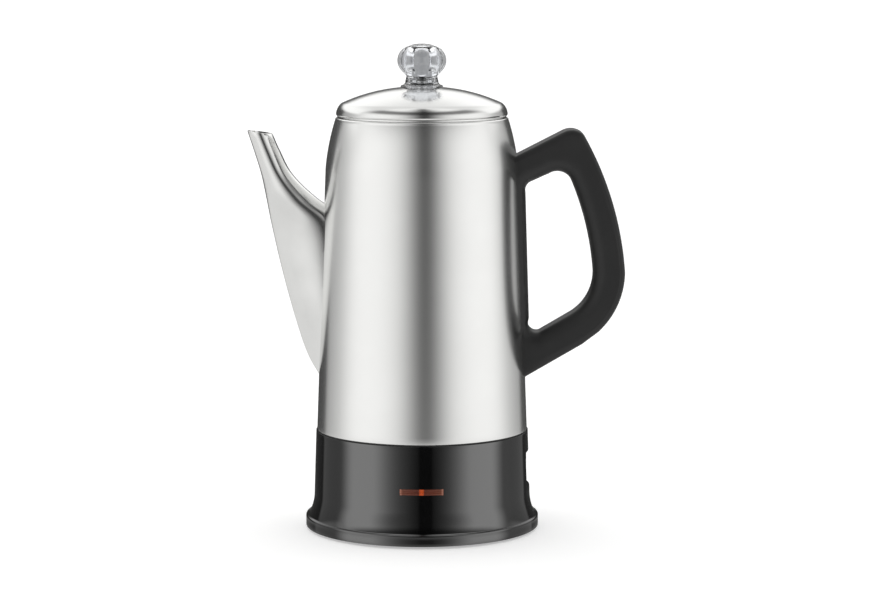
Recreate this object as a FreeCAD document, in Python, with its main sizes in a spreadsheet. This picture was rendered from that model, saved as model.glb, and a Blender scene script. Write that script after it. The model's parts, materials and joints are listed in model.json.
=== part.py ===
"""Twelve cup electric coffee percolator, as a parametric FreeCAD document.

Millimetres. Z is up, the origin is the middle of the base on the surface that it stands on,
+X points to the handle, -X to the spout, and -Y to the indicator lamp at the front.
"""
import FreeCAD, Part
import Sketcher
import math
import os
from types import SimpleNamespace
from FreeCAD import Vector

doc = FreeCAD.newDocument("Percolator")

# ---------------------------------------------------------------- driving dimensions
DIMENSIONS = [
    # base
    ("foot_drop", 1.5, "rubber feet stand this far below the base"),
    ("foot_radius", 6.0, "rubber foot"),
    ("foot_inset", 12.6, "feet, inside the base's widest ring"),
    ("flange_reach", 7.2, "widest ring of the base, beyond the foot of the pot"),
    ("flange_top", 8.7, "height of the ring's upper edge"),
    ("waist_reach", 1.9, "base just above the flare, beyond the foot of the pot"),
    ("waist_height", 21.6, "end of the flare"),
    ("base_top_reach", 0.6, "base at its upper edge, beyond the foot of the pot"),
    ("base_height", 61.5, "top of the base"),
    ("base_wall", 2.5, "moulded wall"),
    ("cover_inset", 2.6, "bottom cover, inside the base's widest ring"),
    ("cover_thickness", 2.2, "bottom cover"),
    ("cover_screw_inset", 5.8, "screws of the bottom cover, inside the base's waist"),
    ("boss_radius", 4.5, "screw boss"),
    ("screw_radius", 1.5, "thread of the base's screws"),
    ("screw_head_radius", 3.2, "head of the base's screws"),
    ("stud_length", 9.5, "studs between the inner shelf and the pot's floor"),
    ("shelf_thickness", 2.5, "inner shelf"),
    ("shelf_reach", 17.9, "bore of the shelf, inside the foot of the pot"),
    ("stud_inset", 5.0, "studs, outside the bore of the shelf"),
    ("stud_radius", 3.0, "stud under the pot"),
    # pot
    ("pot_wall", 0.8, "drawn stainless steel"),
    ("floor_drop", 9.5, "underside of the pot's floor, below the top of the base"),
    ("pot_corner", 7.5, "radius between floor and wall"),
    ("seam_gasket", 0.8, "seal between base and pot"),
    ("pot_foot_radius", 65.4, "pot above the seam"),
    ("pot_shoulder_radius", 59.5, "pot where the shoulder starts"),
    ("shoulder_height", 224.6, "start of the shoulder"),
    ("rim_radius", 52.3, "middle of the rolled rim"),
    ("rim_rise", 30.1, "middle of the rolled rim, above the start of the shoulder"),
    ("rim_bead", 1.1, "radius of the rolled rim"),
    # heater under the floor
    ("well_radius", 12.7, "outside of the heater well"),
    ("well_wall", 1.2, "heater well"),
    ("well_depth", 22.0, "heater well, below the pot's floor"),
    ("well_flange", 18.0, "radius of the well's flange"),
    ("well_nut_height", 5.0, "nut below the floor"),
    ("well_gasket_height", 1.5, "seal under the floor"),
    ("element_radius", 21.0, "heating element round the well"),
    ("element_height", 13.0, "heating element"),
    ("warmer_radius", 45.0, "keep warm plate"),
    ("warmer_thickness", 2.5, "keep warm plate"),
    ("thermostat_radius", 8.0, "thermostat can"),
    ("thermostat_place", 33.0, "distance of the thermostat from the middle"),
    # inlet and lamp
    ("inlet_width", 32.6, "inlet socket across"),
    ("inlet_height", 22.6, "inlet socket, up and down"),
    ("inlet_drop", 24.0, "middle of the inlet, below the top of the base"),
    ("inlet_wall", 2.0, "wall of the inlet socket"),
    ("inlet_inset", 2.7, "face of the socket, inside the base's waist"),
    ("inlet_depth", 20.6, "socket from its face to its back"),
    ("pin_radius", 2.0, "round contact pin"),
    ("pin_tail_radius", 1.6, "thinner end of the pin, through the socket's back"),
    ("pin_spacing", 12.7, "distance between the two pins"),
    ("pin_inset", 4.6, "tips of the pins, inside the socket's face"),
    ("lens_width", 26.3, "indicator lens across"),
    ("lens_height", 3.6, "indicator lens, up and down"),
    ("lens_drop", 27.7, "middle of the lens, below the top of the base"),
    ("lamp_radius", 3.2, "neon lamp"),
    ("lamp_length", 18.0, "neon lamp"),
    ("wire_radius", 1.1, "insulated wire"),
    # pump
    ("tube_radius", 3.7, "pump tube outside"),
    ("tube_wall", 0.4, "pump tube"),
    ("tube_reach", 3.2, "pump tube, above the lid's hole and into the knob"),
    ("pump_foot_radius", 10.6, "bell at the tube's foot"),
    ("pump_foot_height", 27.0, "bell at the tube's foot"),
    ("valve_radius", 8.5, "valve disc"),
    ("slip_gap", 0.3, "clearance between pieces that slide apart"),
    # basket and spreader
    ("basket_sink", 56.7, "underside of the basket, below the rim"),
    ("basket_radius", 46.0, "outside of the basket"),
    ("basket_height", 45.0, "basket"),
    ("basket_wall", 0.6, "basket and spreader sheet"),
    ("basket_lip", 1.5, "turned out lip of the basket"),
    ("hub_radius", 6.5, "sleeve in the basket's floor"),
    ("hub_height", 20.0, "sleeve in the basket's floor"),
    ("coffee_hole", 1.2, "radius of a perforation"),
    # lid and knob
    ("lid_wall", 0.8, "lid sheet"),
    ("lid_reach", 0.6, "lower edge of the lid, beyond the middle of the rim"),
    ("lid_cone_inset", 3.4, "break line between cone and dome, inside the lid's lower edge"),
    ("lid_cone_height", 8.5, "cone of the lid"),
    ("lid_dome_height", 9.8, "dome of the lid"),
    ("lid_hole", 11.0, "hole for the knob"),
    ("skirt_depth", 10.0, "skirt inside the pot"),
    ("knob_neck", 9.7, "neck of the knob"),
    ("knob_radius", 15.05, "widest part of the knob"),
    ("knob_wall", 1.9, "knob"),
    ("knob_height", 26.3, "knob above the lid"),
    ("lug_reach", 3.0, "bayonet lug beyond the neck"),
    # handle
    ("handle_width", 25.0, "thickness of the handle, side to side"),
    ("handle_reach", 60.0, "handle beyond the foot of the pot"),
    ("handle_lift", 34.0, "lowest point of the handle, above the top of the base"),
    ("handle_sink", 5.9, "highest point of the handle, below the rim"),
    ("handle_round", 3.0, "rounding of the handle's edges"),
    ("bracket_width", 12.0, "welded bracket, side to side"),
    ("bracket_thickness", 3.0, "welded bracket"),
    ("bracket_reach", 16.0, "welded bracket beyond the foot of the pot"),
    ("handle_screw_radius", 2.0, "thread of the handle's screws"),
    ("handle_screw_place", 9.0, "handle screws beyond the foot of the pot"),
    # spout
    ("spout_lift", 30.5, "lowest point of the spout, above the top of the base"),
    ("spout_sink", 7.1, "mouth of the spout, below the rim"),
    ("spout_reach", 42.3, "mouth of the spout beyond the foot of the pot"),
    ("spout_width", 25.0, "widest part of the spout"),
    ("spout_wall", 0.9, "spout"),
    ("strainer_hole", 1.6, "radius of a hole behind the spout"),
    ("strainer_lift", 28.0, "lowest row of holes, above the bottom of the spout"),
]


class Size:
    """A number that remembers how it comes from the sheet, so that a constraint can be bound to it."""

    def __init__(self, value, text):
        self.value = float(value)
        self.text = text

    @staticmethod
    def of(other):
        return other if isinstance(other, Size) else Size(other, "%.6g" % other)

    def joined(self, sign, other, value):
        return Size(value, "(%s %s %s)" % (self.text, sign, Size.of(other).text))

    def __add__(self, other):
        return self.joined("+", other, self.value + float(other))

    def __sub__(self, other):
        return self.joined("-", other, self.value - float(other))

    def __mul__(self, other):
        return self.joined("*", other, self.value * float(other))

    def __truediv__(self, other):
        return self.joined("/", other, self.value / float(other))

    def __radd__(self, other):
        return Size.of(other) + self

    def __rsub__(self, other):
        return Size.of(other) - self

    def __rmul__(self, other):
        return Size.of(other) * self

    def __neg__(self):
        return Size.of(0) - self

    def __float__(self):
        return self.value


sheet = doc.addObject("Spreadsheet::Sheet", "Sizes")
for row, (name, value, meaning) in enumerate(DIMENSIONS, start=1):
    sheet.set("A%d" % row, meaning)
    sheet.set("B%d" % row, str(value))
    sheet.setAlias("B%d" % row, name)
doc.recompute()
mm = SimpleNamespace(**{name: Size(value, "Sizes." + name) for name, value, meaning in DIMENSIONS})

# ---------------------------------------------------------------- sizes that follow from others
mm.flange_radius = mm.pot_foot_radius + mm.flange_reach
mm.waist_radius = mm.pot_foot_radius + mm.waist_reach
mm.base_top_radius = mm.pot_foot_radius + mm.base_top_reach
mm.foot_circle = mm.flange_radius - mm.foot_inset
mm.cover_radius = mm.flange_radius - mm.cover_inset
mm.cover_screw_circle = mm.waist_radius - mm.cover_screw_inset
mm.shelf_bore = mm.pot_foot_radius - mm.shelf_reach
mm.stud_circle = mm.shelf_bore + mm.stud_inset
mm.pot_floor = mm.base_height - mm.floor_drop
mm.shelf_height = mm.pot_floor - mm.stud_length
mm.well_bottom = mm.pot_floor - mm.well_depth
mm.inlet_middle = mm.base_height - mm.inlet_drop
mm.inlet_face = mm.waist_radius - mm.inlet_inset
mm.inlet_back = mm.inlet_face - mm.inlet_depth
mm.pin_tip = mm.inlet_face - mm.pin_inset
mm.lens_middle = mm.base_height - mm.lens_drop
mm.rim_height = mm.shoulder_height + mm.rim_rise
mm.basket_floor = mm.rim_height - mm.basket_sink
mm.lid_radius = mm.rim_radius + mm.lid_reach
mm.lid_shoulder_radius = mm.lid_radius - mm.lid_cone_inset
mm.lid_low = mm.rim_height + mm.rim_bead + mm.slip_gap
mm.lid_shoulder = mm.lid_low + mm.lid_cone_height
mm.lid_top = mm.lid_shoulder + mm.lid_dome_height
mm.tube_top = mm.lid_top + mm.tube_reach
mm.handle_bottom = mm.base_height + mm.handle_lift
mm.handle_rise = mm.rim_height - mm.handle_sink - mm.handle_bottom
mm.spout_bottom = mm.base_height + mm.spout_lift
mm.spout_rise = mm.rim_height - mm.spout_sink - mm.spout_bottom
mm.strainer_bottom = mm.spout_bottom + mm.strainer_lift

# The derived sizes get a row each in the sheet, and everything after this is bound to those rows.
for name, size in list(vars(mm).items()):
    if not size.text.startswith("Sizes."):
        row += 1
        sheet.set("A%d" % row, "follows from the rows above")
        sheet.set("B%d" % row, "=" + size.text.replace("Sizes.", ""))
        sheet.setAlias("B%d" % row, name)
doc.recompute()
for name, size in list(vars(mm).items()):
    if abs(float(getattr(sheet, name)) - size.value) > 1e-6:
        raise ValueError("%s: the sheet and the script disagree" % name)
    setattr(mm, name, Size(size.value, "Sizes." + name))

nodes = []


def keep(label, piece):
    """Name a finished piece and put it on the list of sub-parts."""
    piece.Label = label
    nodes.append(piece)
    return piece


def bind(thing, path, size):
    """Set a property from a size and tie it to the sheet."""
    thing.setExpression(path, Size.of(size).text)


# ---------------------------------------------------------------- sketch helpers
def new_body(name):
    return doc.addObject("PartDesign::Body", name)


def new_sketch(body, name, plane, lift=None):
    sketch = body.newObject("Sketcher::SketchObject", name)
    origin_plane = [f for f in body.Origin.OriginFeatures if f.Role == plane][0]
    sketch.AttachmentSupport = [(origin_plane, "")]
    sketch.MapMode = "FlatFace"
    if lift is not None:
        sketch.AttachmentOffset = FreeCAD.Placement(Vector(0, 0, float(lift)), FreeCAD.Rotation())
        bind(sketch, ".AttachmentOffset.Base.z", lift)
    return sketch


def pin_point(sketch, geometry, end, across, up):
    """Hold one point of a sketch at two sizes from the origin."""
    for kind, axis, distance in (("DistanceX", -2, across), ("DistanceY", -1, up)):
        if float(distance) == 0.0:
            sketch.addConstraint(Sketcher.Constraint("PointOnObject", geometry, end, axis))
            continue
        number = sketch.addConstraint(
            Sketcher.Constraint(kind, -1, 1, geometry, end, float(distance)))
        bind(sketch, "Constraints[%d]" % number, distance)


def outline(sketch, points):
    """A closed outline. A point marked via lies on the arc between its two neighbours."""
    corners = [i for i, p in enumerate(points) if len(p) == 2]
    edges = []
    for turn, start in enumerate(corners):
        stop = corners[(turn + 1) % len(corners)]
        first = Vector(float(points[start][0]), float(points[start][1]), 0)
        last = Vector(float(points[stop][0]), float(points[stop][1]), 0)
        between = points[start + 1] if start + 1 < len(points) and len(points[start + 1]) == 3 else None
        if between is None:
            number = sketch.addGeometry(Part.LineSegment(first, last), False)
        else:
            middle = Vector(float(between[0]), float(between[1]), 0)
            number = sketch.addGeometry(Part.Arc(first, middle, last), False)
        near = (sketch.getPoint(number, 1) - first).Length < (sketch.getPoint(number, 2) - first).Length
        edges.append((number, 1 if near else 2, 2 if near else 1, points[start], between))
    for turn, (number, start_end, stop_end, start, between) in enumerate(edges):
        following = edges[(turn + 1) % len(edges)]
        sketch.addConstraint(
            Sketcher.Constraint("Coincident", number, stop_end, following[0], following[1]))
        pin_point(sketch, number, start_end, start[0], start[1])
        if between is not None:
            mark = sketch.addGeometry(Part.Point(Vector(float(between[0]), float(between[1]), 0)), True)
            pin_point(sketch, mark, 1, between[0], between[1])
            sketch.addConstraint(Sketcher.Constraint("PointOnObject", mark, 1, number))


def circle(sketch, across, up, radius):
    number = sketch.addGeometry(
        Part.Circle(Vector(float(across), float(up), 0), Vector(0, 0, 1), float(radius)), False)
    pin_point(sketch, number, 3, across, up)
    held = sketch.addConstraint(Sketcher.Constraint("Radius", number, float(radius)))
    bind(sketch, "Constraints[%d]" % held, radius)


def box_outline(sketch, left, right, low, high):
    outline(sketch, [(left, low), (right, low), (right, high), (left, high)])


# ---------------------------------------------------------------- feature helpers
def revolve(body, points):
    """Turn an outline, given as radius and height, round the Z axis."""
    sketch = new_sketch(body, body.Name + "Outline", "XZ_Plane")
    outline(sketch, points)
    feature = body.newObject("PartDesign::Revolution", body.Name + "Turned")
    feature.Profile = sketch
    feature.ReferenceAxis = (sketch, ["V_Axis"])
    feature.Angle = 360
    body.Tip = feature
    return feature


def turned(label, points):
    body = new_body("".join(word.title() for word in label.split("_")))
    revolve(body, points)
    return body


def pad(body, sketch, length, both_ways=False):
    feature = body.newObject("PartDesign::Pad", sketch.Name + "Pad")
    feature.Profile = sketch
    if both_ways:
        feature.SideType = "Symmetric"
    bind(feature, "Length", length)
    body.Tip = feature
    return feature


def pocket(body, sketch, length, backwards=False):
    feature = body.newObject("PartDesign::Pocket", sketch.Name + "Pocket")
    feature.Profile = sketch
    feature.Reversed = backwards
    bind(feature, "Length", length)
    body.Tip = feature
    return feature


def on_circle(radius, degrees):
    """Sizes across and up of points on a circle."""
    angles = [math.radians(angle) for angle in degrees]
    return [(radius * math.cos(a), radius * math.sin(a)) for a in angles]


def drill(body, name, places, radius, top, bottom):
    """Round holes straight down, from one height to a lower one."""
    sketch = new_sketch(body, name, "XY_Plane", top)
    for across, up in places:
        circle(sketch, across, up, radius)
    pocket(body, sketch, top - bottom)


def ring(label, inner, outer, low, high):
    """A plain ring or washer."""
    return keep(label, turned(label, [(inner, low), (outer, low), (outer, high), (inner, high)]))


def block(name, x, y, z):
    """A box between pairs of sizes."""
    box = doc.addObject("Part::Box", name)
    for side, axis, (low, high) in (("Length", "x", x), ("Width", "y", y), ("Height", "z", z)):
        bind(box, side, high - low)
        bind(box, ".Placement.Base." + axis, low)
    return box


def rod(name, radius, length, place, along):
    """A round bar from a place along X, Y or Z."""
    bar = doc.addObject("Part::Cylinder", name)
    turns = {"X": (Vector(0, 1, 0), 90), "Y": (Vector(1, 0, 0), -90), "Z": (Vector(0, 0, 1), 0)}
    bar.Placement = FreeCAD.Placement(Vector(0, 0, 0), FreeCAD.Rotation(*turns[along]))
    bind(bar, "Radius", radius)
    bind(bar, "Height", length)
    for axis, size in zip("xyz", place):
        bind(bar, ".Placement.Base." + axis, size)
    return bar


def cut(name, base, tool):
    result = doc.addObject("Part::Cut", name)
    result.Base = base
    result.Tool = tool
    return result


def fuse(name, *pieces):
    result = doc.addObject("Part::MultiFuse", name)
    result.Shapes = list(pieces)
    return result


def solid(label, shape):
    """A shape worked out with Part's own functions."""
    feature = doc.addObject("Part::Feature", "".join(word.title() for word in label.split("_")))
    feature.Shape = shape
    return keep(label, feature)


def copies(label, body, places):
    """Identical pieces as one group of separate solids."""
    doc.recompute()
    shapes = []
    for across, up in places:
        shape = body.Shape.copy()
        shape.translate(Vector(float(across), float(up), 0))
        shapes.append(shape)
    return solid(label, Part.makeCompound(shapes))


def screw(name, radius, head_radius, head_height, seat, length):
    """A screw that points up, with its head below the seat."""
    return turned(name, [(Size.of(0), seat - head_height), (head_radius, seat - head_height),
                         (head_radius, seat), (radius, seat), (radius, seat + length),
                         (Size.of(0), seat + length)])


ZERO = Size.of(0)
HALF_TURN_POINT = math.sqrt(0.5)
FOOT_ANGLES = (45, 135, 225, 315)
SCREW_ANGLES = (60, 180, 300)

# ---------------------------------------------------------------- pot
seam = mm.base_height + mm.seam_gasket
pot_taper = (mm.pot_foot_radius - mm.pot_shoulder_radius) / (mm.shoulder_height - seam)
floor_top = mm.pot_floor + mm.pot_wall
pot_step = mm.pot_foot_radius - 2.1
shoulder_bow = 0.85


def pot_radius(height):
    """Outside of the straight, slightly tapered wall."""
    return mm.pot_foot_radius - pot_taper * (height - seam)


def shoulder(inset):
    """Middle of the shoulder's curve."""
    middle = (mm.pot_shoulder_radius + mm.rim_radius + mm.rim_bead) * 0.5 + shoulder_bow - inset
    return (middle, (mm.shoulder_height + mm.rim_height) * 0.5, "via")


def make_pot_shell():
    corner = pot_step - mm.pot_corner
    corner_up = mm.pot_floor + mm.pot_corner
    inner_corner = mm.pot_corner - mm.pot_wall
    body = turned("pot_shell", [
        (mm.well_radius + mm.slip_gap, mm.pot_floor),
        (corner, mm.pot_floor),
        (corner + mm.pot_corner * HALF_TURN_POINT, corner_up - mm.pot_corner * HALF_TURN_POINT, "via"),
        (pot_step, corner_up),
        (pot_step, seam),
        (mm.pot_foot_radius, seam),
        (mm.pot_shoulder_radius, mm.shoulder_height),
        shoulder(ZERO),
        (mm.rim_radius + mm.rim_bead, mm.rim_height),
        (mm.rim_radius, mm.rim_height + mm.rim_bead, "via"),
        (mm.rim_radius - mm.rim_bead, mm.rim_height),
        (mm.rim_radius + mm.rim_bead - mm.pot_wall, mm.rim_height - 1.5),
        shoulder(mm.pot_wall),
        (mm.pot_shoulder_radius - mm.pot_wall, mm.shoulder_height),
        (mm.pot_foot_radius - mm.pot_wall, seam + mm.pot_wall),
        (pot_step - mm.pot_wall, seam + mm.pot_wall),
        (pot_step - mm.pot_wall, corner_up),
        (corner + inner_corner * HALF_TURN_POINT, corner_up - inner_corner * HALF_TURN_POINT, "via"),
        (corner, floor_top),
        (mm.well_radius + mm.slip_gap, floor_top),
    ])
    holes = new_sketch(body, "StrainerHoles", "YZ_Plane")
    for row in range(11):
        for column in (-1, 0, 1):
            stagger = 0.5 * (row % 2)
            across = mm.strainer_hole * (3.2 * (column + stagger - 0.25))
            circle(holes, across, mm.strainer_bottom + mm.strainer_hole * (4.2 * row), mm.strainer_hole)
    pocket(body, holes, mm.pot_foot_radius + 1.0)
    return keep("pot_shell", body)


def make_envelope():
    """The pot's outside as one solid, which shapes whatever is welded or clamped to it."""
    return turned("pot_envelope", [
        (ZERO, mm.pot_floor), (pot_step, mm.pot_floor), (pot_step, seam), (mm.pot_foot_radius, seam),
        (mm.pot_shoulder_radius, mm.shoulder_height), shoulder(ZERO),
        (mm.rim_radius + mm.rim_bead, mm.rim_height), (ZERO, mm.rim_height)])


make_pot_shell()
envelope = make_envelope()

# ---------------------------------------------------------------- spout
# Each station: share of the height, share of the reach outside and inside, share of the half width.
# A share of the reach below zero is inside the pot, where the wall closes the spout.
SPOUT_STATIONS = [
    (0.000, -0.08, -0.22, 0.28),
    (0.103, 0.132, -0.25, 0.68),
    (0.250, 0.312, -0.25, 0.92),
    (0.443, 0.501, -0.27, 1.00),
    (0.636, 0.660, -0.28, 1.00),
    (0.733, 0.728, -0.01, 0.93),
    (0.827, 0.799, 0.340, 0.78),
    (0.923, 0.905, 0.525, 0.67),
    (1.000, 1.000, 0.634, 0.62),
]


def spout_loft(inset, overrun):
    """Ellipses from the root to the mouth, joined by one smooth skin."""
    wires = []
    for height, outer, inner, width in SPOUT_STATIONS:
        reach_out = float(mm.pot_foot_radius) + outer * float(mm.spout_reach)
        reach_in = float(mm.pot_foot_radius) + inner * float(mm.spout_reach)
        long_half = (reach_out - reach_in) / 2 - inset
        short_half = width * float(mm.spout_width) / 2 - inset
        level = float(mm.spout_bottom) + height * float(mm.spout_rise)
        middle = Vector(-(reach_out + reach_in) / 2, 0, level)
        if long_half > short_half:
            ellipse = Part.Ellipse(middle + Vector(long_half, 0, 0), middle + Vector(0, short_half, 0),
                                   middle)
        else:
            ellipse = Part.Ellipse(middle + Vector(0, short_half, 0), middle - Vector(long_half, 0, 0),
                                   middle)
            # start every ellipse on the same side, so that the skin doesn't twist
            quarter = math.pi / 2
            wires.append(Part.Wire([ellipse.toShape(quarter * 3, quarter * 7)]))
            continue
        wires.append(Part.Wire([ellipse.toShape()]))
    if overrun:
        top = wires[-1].copy()
        top.translate(Vector(-overrun * 0.35, 0, overrun))
        wires.append(top)
    return Part.makeLoft(wires, True, False)


def make_spout():
    doc.recompute()
    shape = spout_loft(0.0, 0.0).cut(spout_loft(float(mm.spout_wall), 3.0)).cut(envelope.Shape)
    return solid("spout", max(shape.Solids, key=lambda s: s.Volume))


make_spout()

# ---------------------------------------------------------------- handle
# Points of the handle: share of its reach and share of its height.
HANDLE_OUTSIDE = [
    (-0.223, 0.875), (0.362, 0.992), (0.470, 0.999, "via"), (0.565, 0.982),
    (0.857, 0.720, "via"), (1.000, 0.427), (0.925, 0.290, "via"), (0.728, 0.183),
    (0.562, 0.134), (-0.173, -0.033),
]
HANDLE_WINDOW = [
    (0.015, 0.232), (-0.025, 0.744), (-0.004, 0.781, "via"), (0.045, 0.793),
    (0.230, 0.826), (0.350, 0.829, "via"), (0.448, 0.793), (0.600, 0.615, "via"),
    (0.678, 0.427), (0.610, 0.322, "via"), (0.443, 0.256), (0.125, 0.183),
    (0.045, 0.187, "via"),
]
upper_bracket_height = mm.handle_bottom + mm.handle_rise * 0.865
lower_bracket_height = mm.handle_bottom + mm.handle_rise * 0.115
screw_place = mm.pot_foot_radius + mm.handle_screw_place


def handle_points(shares):
    points = []
    for share in shares:
        across = mm.pot_foot_radius + mm.handle_reach * share[0]
        up = mm.handle_bottom + mm.handle_rise * share[1]
        points.append((across, up) + tuple(share[2:]))
    return points


def make_bracket(label, height):
    """A steel tab welded to the pot, which the handle slides over."""
    half = mm.bracket_width * 0.5
    tab = block(label + "_tab", (mm.pot_shoulder_radius - 6.0, mm.pot_foot_radius + mm.bracket_reach),
                (-half, half), (height, height + mm.bracket_thickness))
    hole = rod(label + "_hole", mm.handle_screw_radius, mm.bracket_thickness * 3.0,
               (screw_place, ZERO, height - mm.bracket_thickness), "Z")
    return keep(label, cut(label + "_cut", cut(label + "_drilled", tab, hole), envelope))


def make_handle_screw(label, seat, bracket_height):
    """A screw that points up through the arm into the welded bracket."""
    length = bracket_height + mm.bracket_thickness - seat
    body = screw(label, mm.handle_screw_radius, mm.handle_screw_radius * 2.0,
                 mm.handle_screw_radius * 1.3, seat, length)
    bind(body, ".Placement.Base.x", screw_place)
    return keep(label, body)


def make_handle():
    body = new_body("HandleBlank")
    sketch = new_sketch(body, "HandleOutline", "XZ_Plane")
    outline(sketch, handle_points(HANDLE_OUTSIDE))
    outline(sketch, handle_points(HANDLE_WINDOW))
    blank = pad(body, sketch, mm.handle_width, both_ways=True)
    doc.recompute()
    sides = ["Face%d" % (i + 1) for i, face in enumerate(blank.Shape.Faces)
             if abs(face.normalAt(0, 0).y) > 0.999 and abs(face.CenterOfMass.y) > 1.0]
    rounded = body.newObject("PartDesign::Fillet", "HandleRounding")
    rounded.Base = (blank, sides)
    bind(rounded, "Radius", mm.handle_round)
    body.Tip = rounded
    half = mm.bracket_width * 0.5 + 0.1
    tools = []
    for name, height in (("upper", upper_bracket_height), ("lower", lower_bracket_height)):
        tools.append(block(name + "_slot",
                           (mm.pot_shoulder_radius - 6.0, mm.pot_foot_radius + mm.bracket_reach + 0.2),
                           (-half, half), (height, height + mm.bracket_thickness)))
    for name, seat, bracket in (("upper", upper_seat, upper_bracket_height),
                                ("lower", lower_seat, lower_bracket_height)):
        tools.append(rod(name + "_clearance", mm.handle_screw_radius, bracket - seat + 1.0,
                         (screw_place, ZERO, seat), "Z"))
        tools.append(rod(name + "_counterbore", mm.handle_screw_radius * 2.0 + 0.3, Size.of(14.0),
                         (screw_place, ZERO, seat - 14.0), "Z"))
    tools.append(envelope)
    return keep("handle", cut("HandleCut", body, fuse("HandleTools", *tools)))


upper_seat = upper_bracket_height - 4.5
lower_seat = lower_bracket_height - 4.0
make_handle()
make_bracket("handle_upper_bracket", upper_bracket_height)
make_bracket("handle_lower_bracket", lower_bracket_height)
make_handle_screw("handle_upper_screw", upper_seat, upper_bracket_height)
make_handle_screw("handle_lower_screw", lower_seat, lower_bracket_height)

# ---------------------------------------------------------------- base
cover_bottom = mm.foot_drop + 1.0
cover_top = cover_bottom + mm.cover_thickness
shelf_under = mm.shelf_height - mm.shelf_thickness
inlet_half = mm.inlet_width * 0.5
inlet_low = mm.inlet_middle - mm.inlet_height * 0.5
inlet_high = mm.inlet_middle + mm.inlet_height * 0.5
lens_half = mm.lens_width * 0.5
lens_low = mm.lens_middle - mm.lens_height * 0.5
lens_high = mm.lens_middle + mm.lens_height * 0.5
FIT = 0.1


def make_base_housing():
    """The moulded skirt: flange, flare, wall and the inner shelf that its screws pull up."""
    flare = (mm.flange_radius + mm.waist_radius) * 0.5 - 1.15
    inside = pot_step + 0.2
    body = turned("base_housing", [
        (mm.cover_radius + 0.2, mm.foot_drop),
        (mm.flange_radius, mm.foot_drop),
        (mm.flange_radius, mm.flange_top - 2.0),
        (mm.flange_radius - 0.3, mm.flange_top - 0.6, "via"),
        (mm.flange_radius - 1.4, mm.flange_top),
        (flare, mm.flange_top + 3.9, "via"),
        (mm.waist_radius, mm.waist_height),
        (mm.base_top_radius, mm.base_height - 1.2),
        (mm.base_top_radius - 0.35, mm.base_height - 0.35, "via"),
        (mm.base_top_radius - 1.2, mm.base_height),
        (inside, mm.base_height),
        (inside, mm.shelf_height),
        (mm.shelf_bore, mm.shelf_height),
        (mm.shelf_bore, shelf_under),
        (mm.waist_radius - mm.base_wall - 0.6, shelf_under),
        (mm.waist_radius - mm.base_wall, mm.waist_height),
        (mm.waist_radius - 0.2, mm.flange_top + 0.8),
        (mm.waist_radius - 0.2, cover_top),
        (mm.cover_radius + 0.2, cover_top),
    ])
    bosses = new_sketch(body, "CoverBosses", "XY_Plane", cover_top)
    for across, up in on_circle(mm.cover_screw_circle, SCREW_ANGLES):
        circle(bosses, across, up, mm.boss_radius)
    pad(body, bosses, mm.waist_height - cover_top)
    drill(body, "CoverScrewBores", on_circle(mm.cover_screw_circle, SCREW_ANGLES), mm.screw_radius,
          mm.waist_height - 5.0, mm.foot_drop)
    drill(body, "ShelfHoles", on_circle(mm.stud_circle, SCREW_ANGLES), mm.screw_radius + 0.2,
          mm.shelf_height + 1.0, shelf_under - 1.0)
    inlet = new_sketch(body, "InletOpening", "YZ_Plane", mm.inlet_back - 1.0)
    box_outline(inlet, -inlet_half - FIT, inlet_half + FIT, inlet_low - FIT, inlet_high + FIT)
    pocket(body, inlet, mm.flange_radius - mm.inlet_back, backwards=True)
    window = new_sketch(body, "LensWindow", "XZ_Plane", mm.waist_radius - mm.base_wall - 4.0)
    box_outline(window, -lens_half - FIT, lens_half + FIT, lens_low - FIT, lens_high + FIT)
    pocket(body, window, mm.base_wall + 8.0, backwards=True)
    return keep("base_housing", body)


def make_base_cover():
    body = turned("base_cover", [(ZERO, cover_bottom), (mm.cover_radius, cover_bottom),
                                 (mm.cover_radius, cover_top), (ZERO, cover_top)])
    drill(body, "FootHoles", on_circle(mm.foot_circle, FOOT_ANGLES), mm.foot_radius * 0.45,
          cover_top, cover_bottom)
    drill(body, "CoverScrewHoles", on_circle(mm.cover_screw_circle, SCREW_ANGLES),
          mm.screw_radius + 0.2, cover_top, cover_bottom)
    vents = new_sketch(body, "Vents", "XY_Plane", cover_top)
    for step in range(-3, 4):
        middle = mm.cover_radius * (0.1 * step)
        box_outline(vents, middle - 1.2, middle + 1.2, -mm.cover_radius * 0.28, mm.cover_radius * 0.28)
    pocket(body, vents, mm.cover_thickness)
    return keep("base_cover", body)


def make_feet():
    plug = mm.foot_radius * 0.45
    foot = turned("rubber_foot", [
        (ZERO, ZERO), (mm.foot_radius - 0.8, ZERO), (mm.foot_radius, Size.of(0.8)),
        (mm.foot_radius, cover_bottom), (plug, cover_bottom), (plug, cover_top),
        (plug + 0.8, cover_top), (plug, cover_top + 2.0), (ZERO, cover_top + 2.0)])
    return copies("rubber_feet", foot, on_circle(mm.foot_circle, FOOT_ANGLES))


def make_studs_and_screws():
    bore_top = mm.pot_floor - 4.0
    stud = turned("floor_stud", [
        (mm.screw_radius, mm.shelf_height), (mm.stud_radius, mm.shelf_height),
        (mm.stud_radius, mm.pot_floor), (ZERO, mm.pot_floor), (ZERO, bore_top),
        (mm.screw_radius, bore_top)])
    copies("floor_studs", stud, on_circle(mm.stud_circle, SCREW_ANGLES))
    up = screw("housing_screw", mm.screw_radius, mm.screw_head_radius, Size.of(2.0), shelf_under,
               bore_top - shelf_under - 0.5)
    copies("housing_screws", up, on_circle(mm.stud_circle, SCREW_ANGLES))
    low = screw("base_cover_screw", mm.screw_radius, mm.screw_head_radius, Size.of(1.4), cover_bottom,
                Size.of(12.0))
    copies("base_cover_screws", low, on_circle(mm.cover_screw_circle, SCREW_ANGLES))


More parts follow.
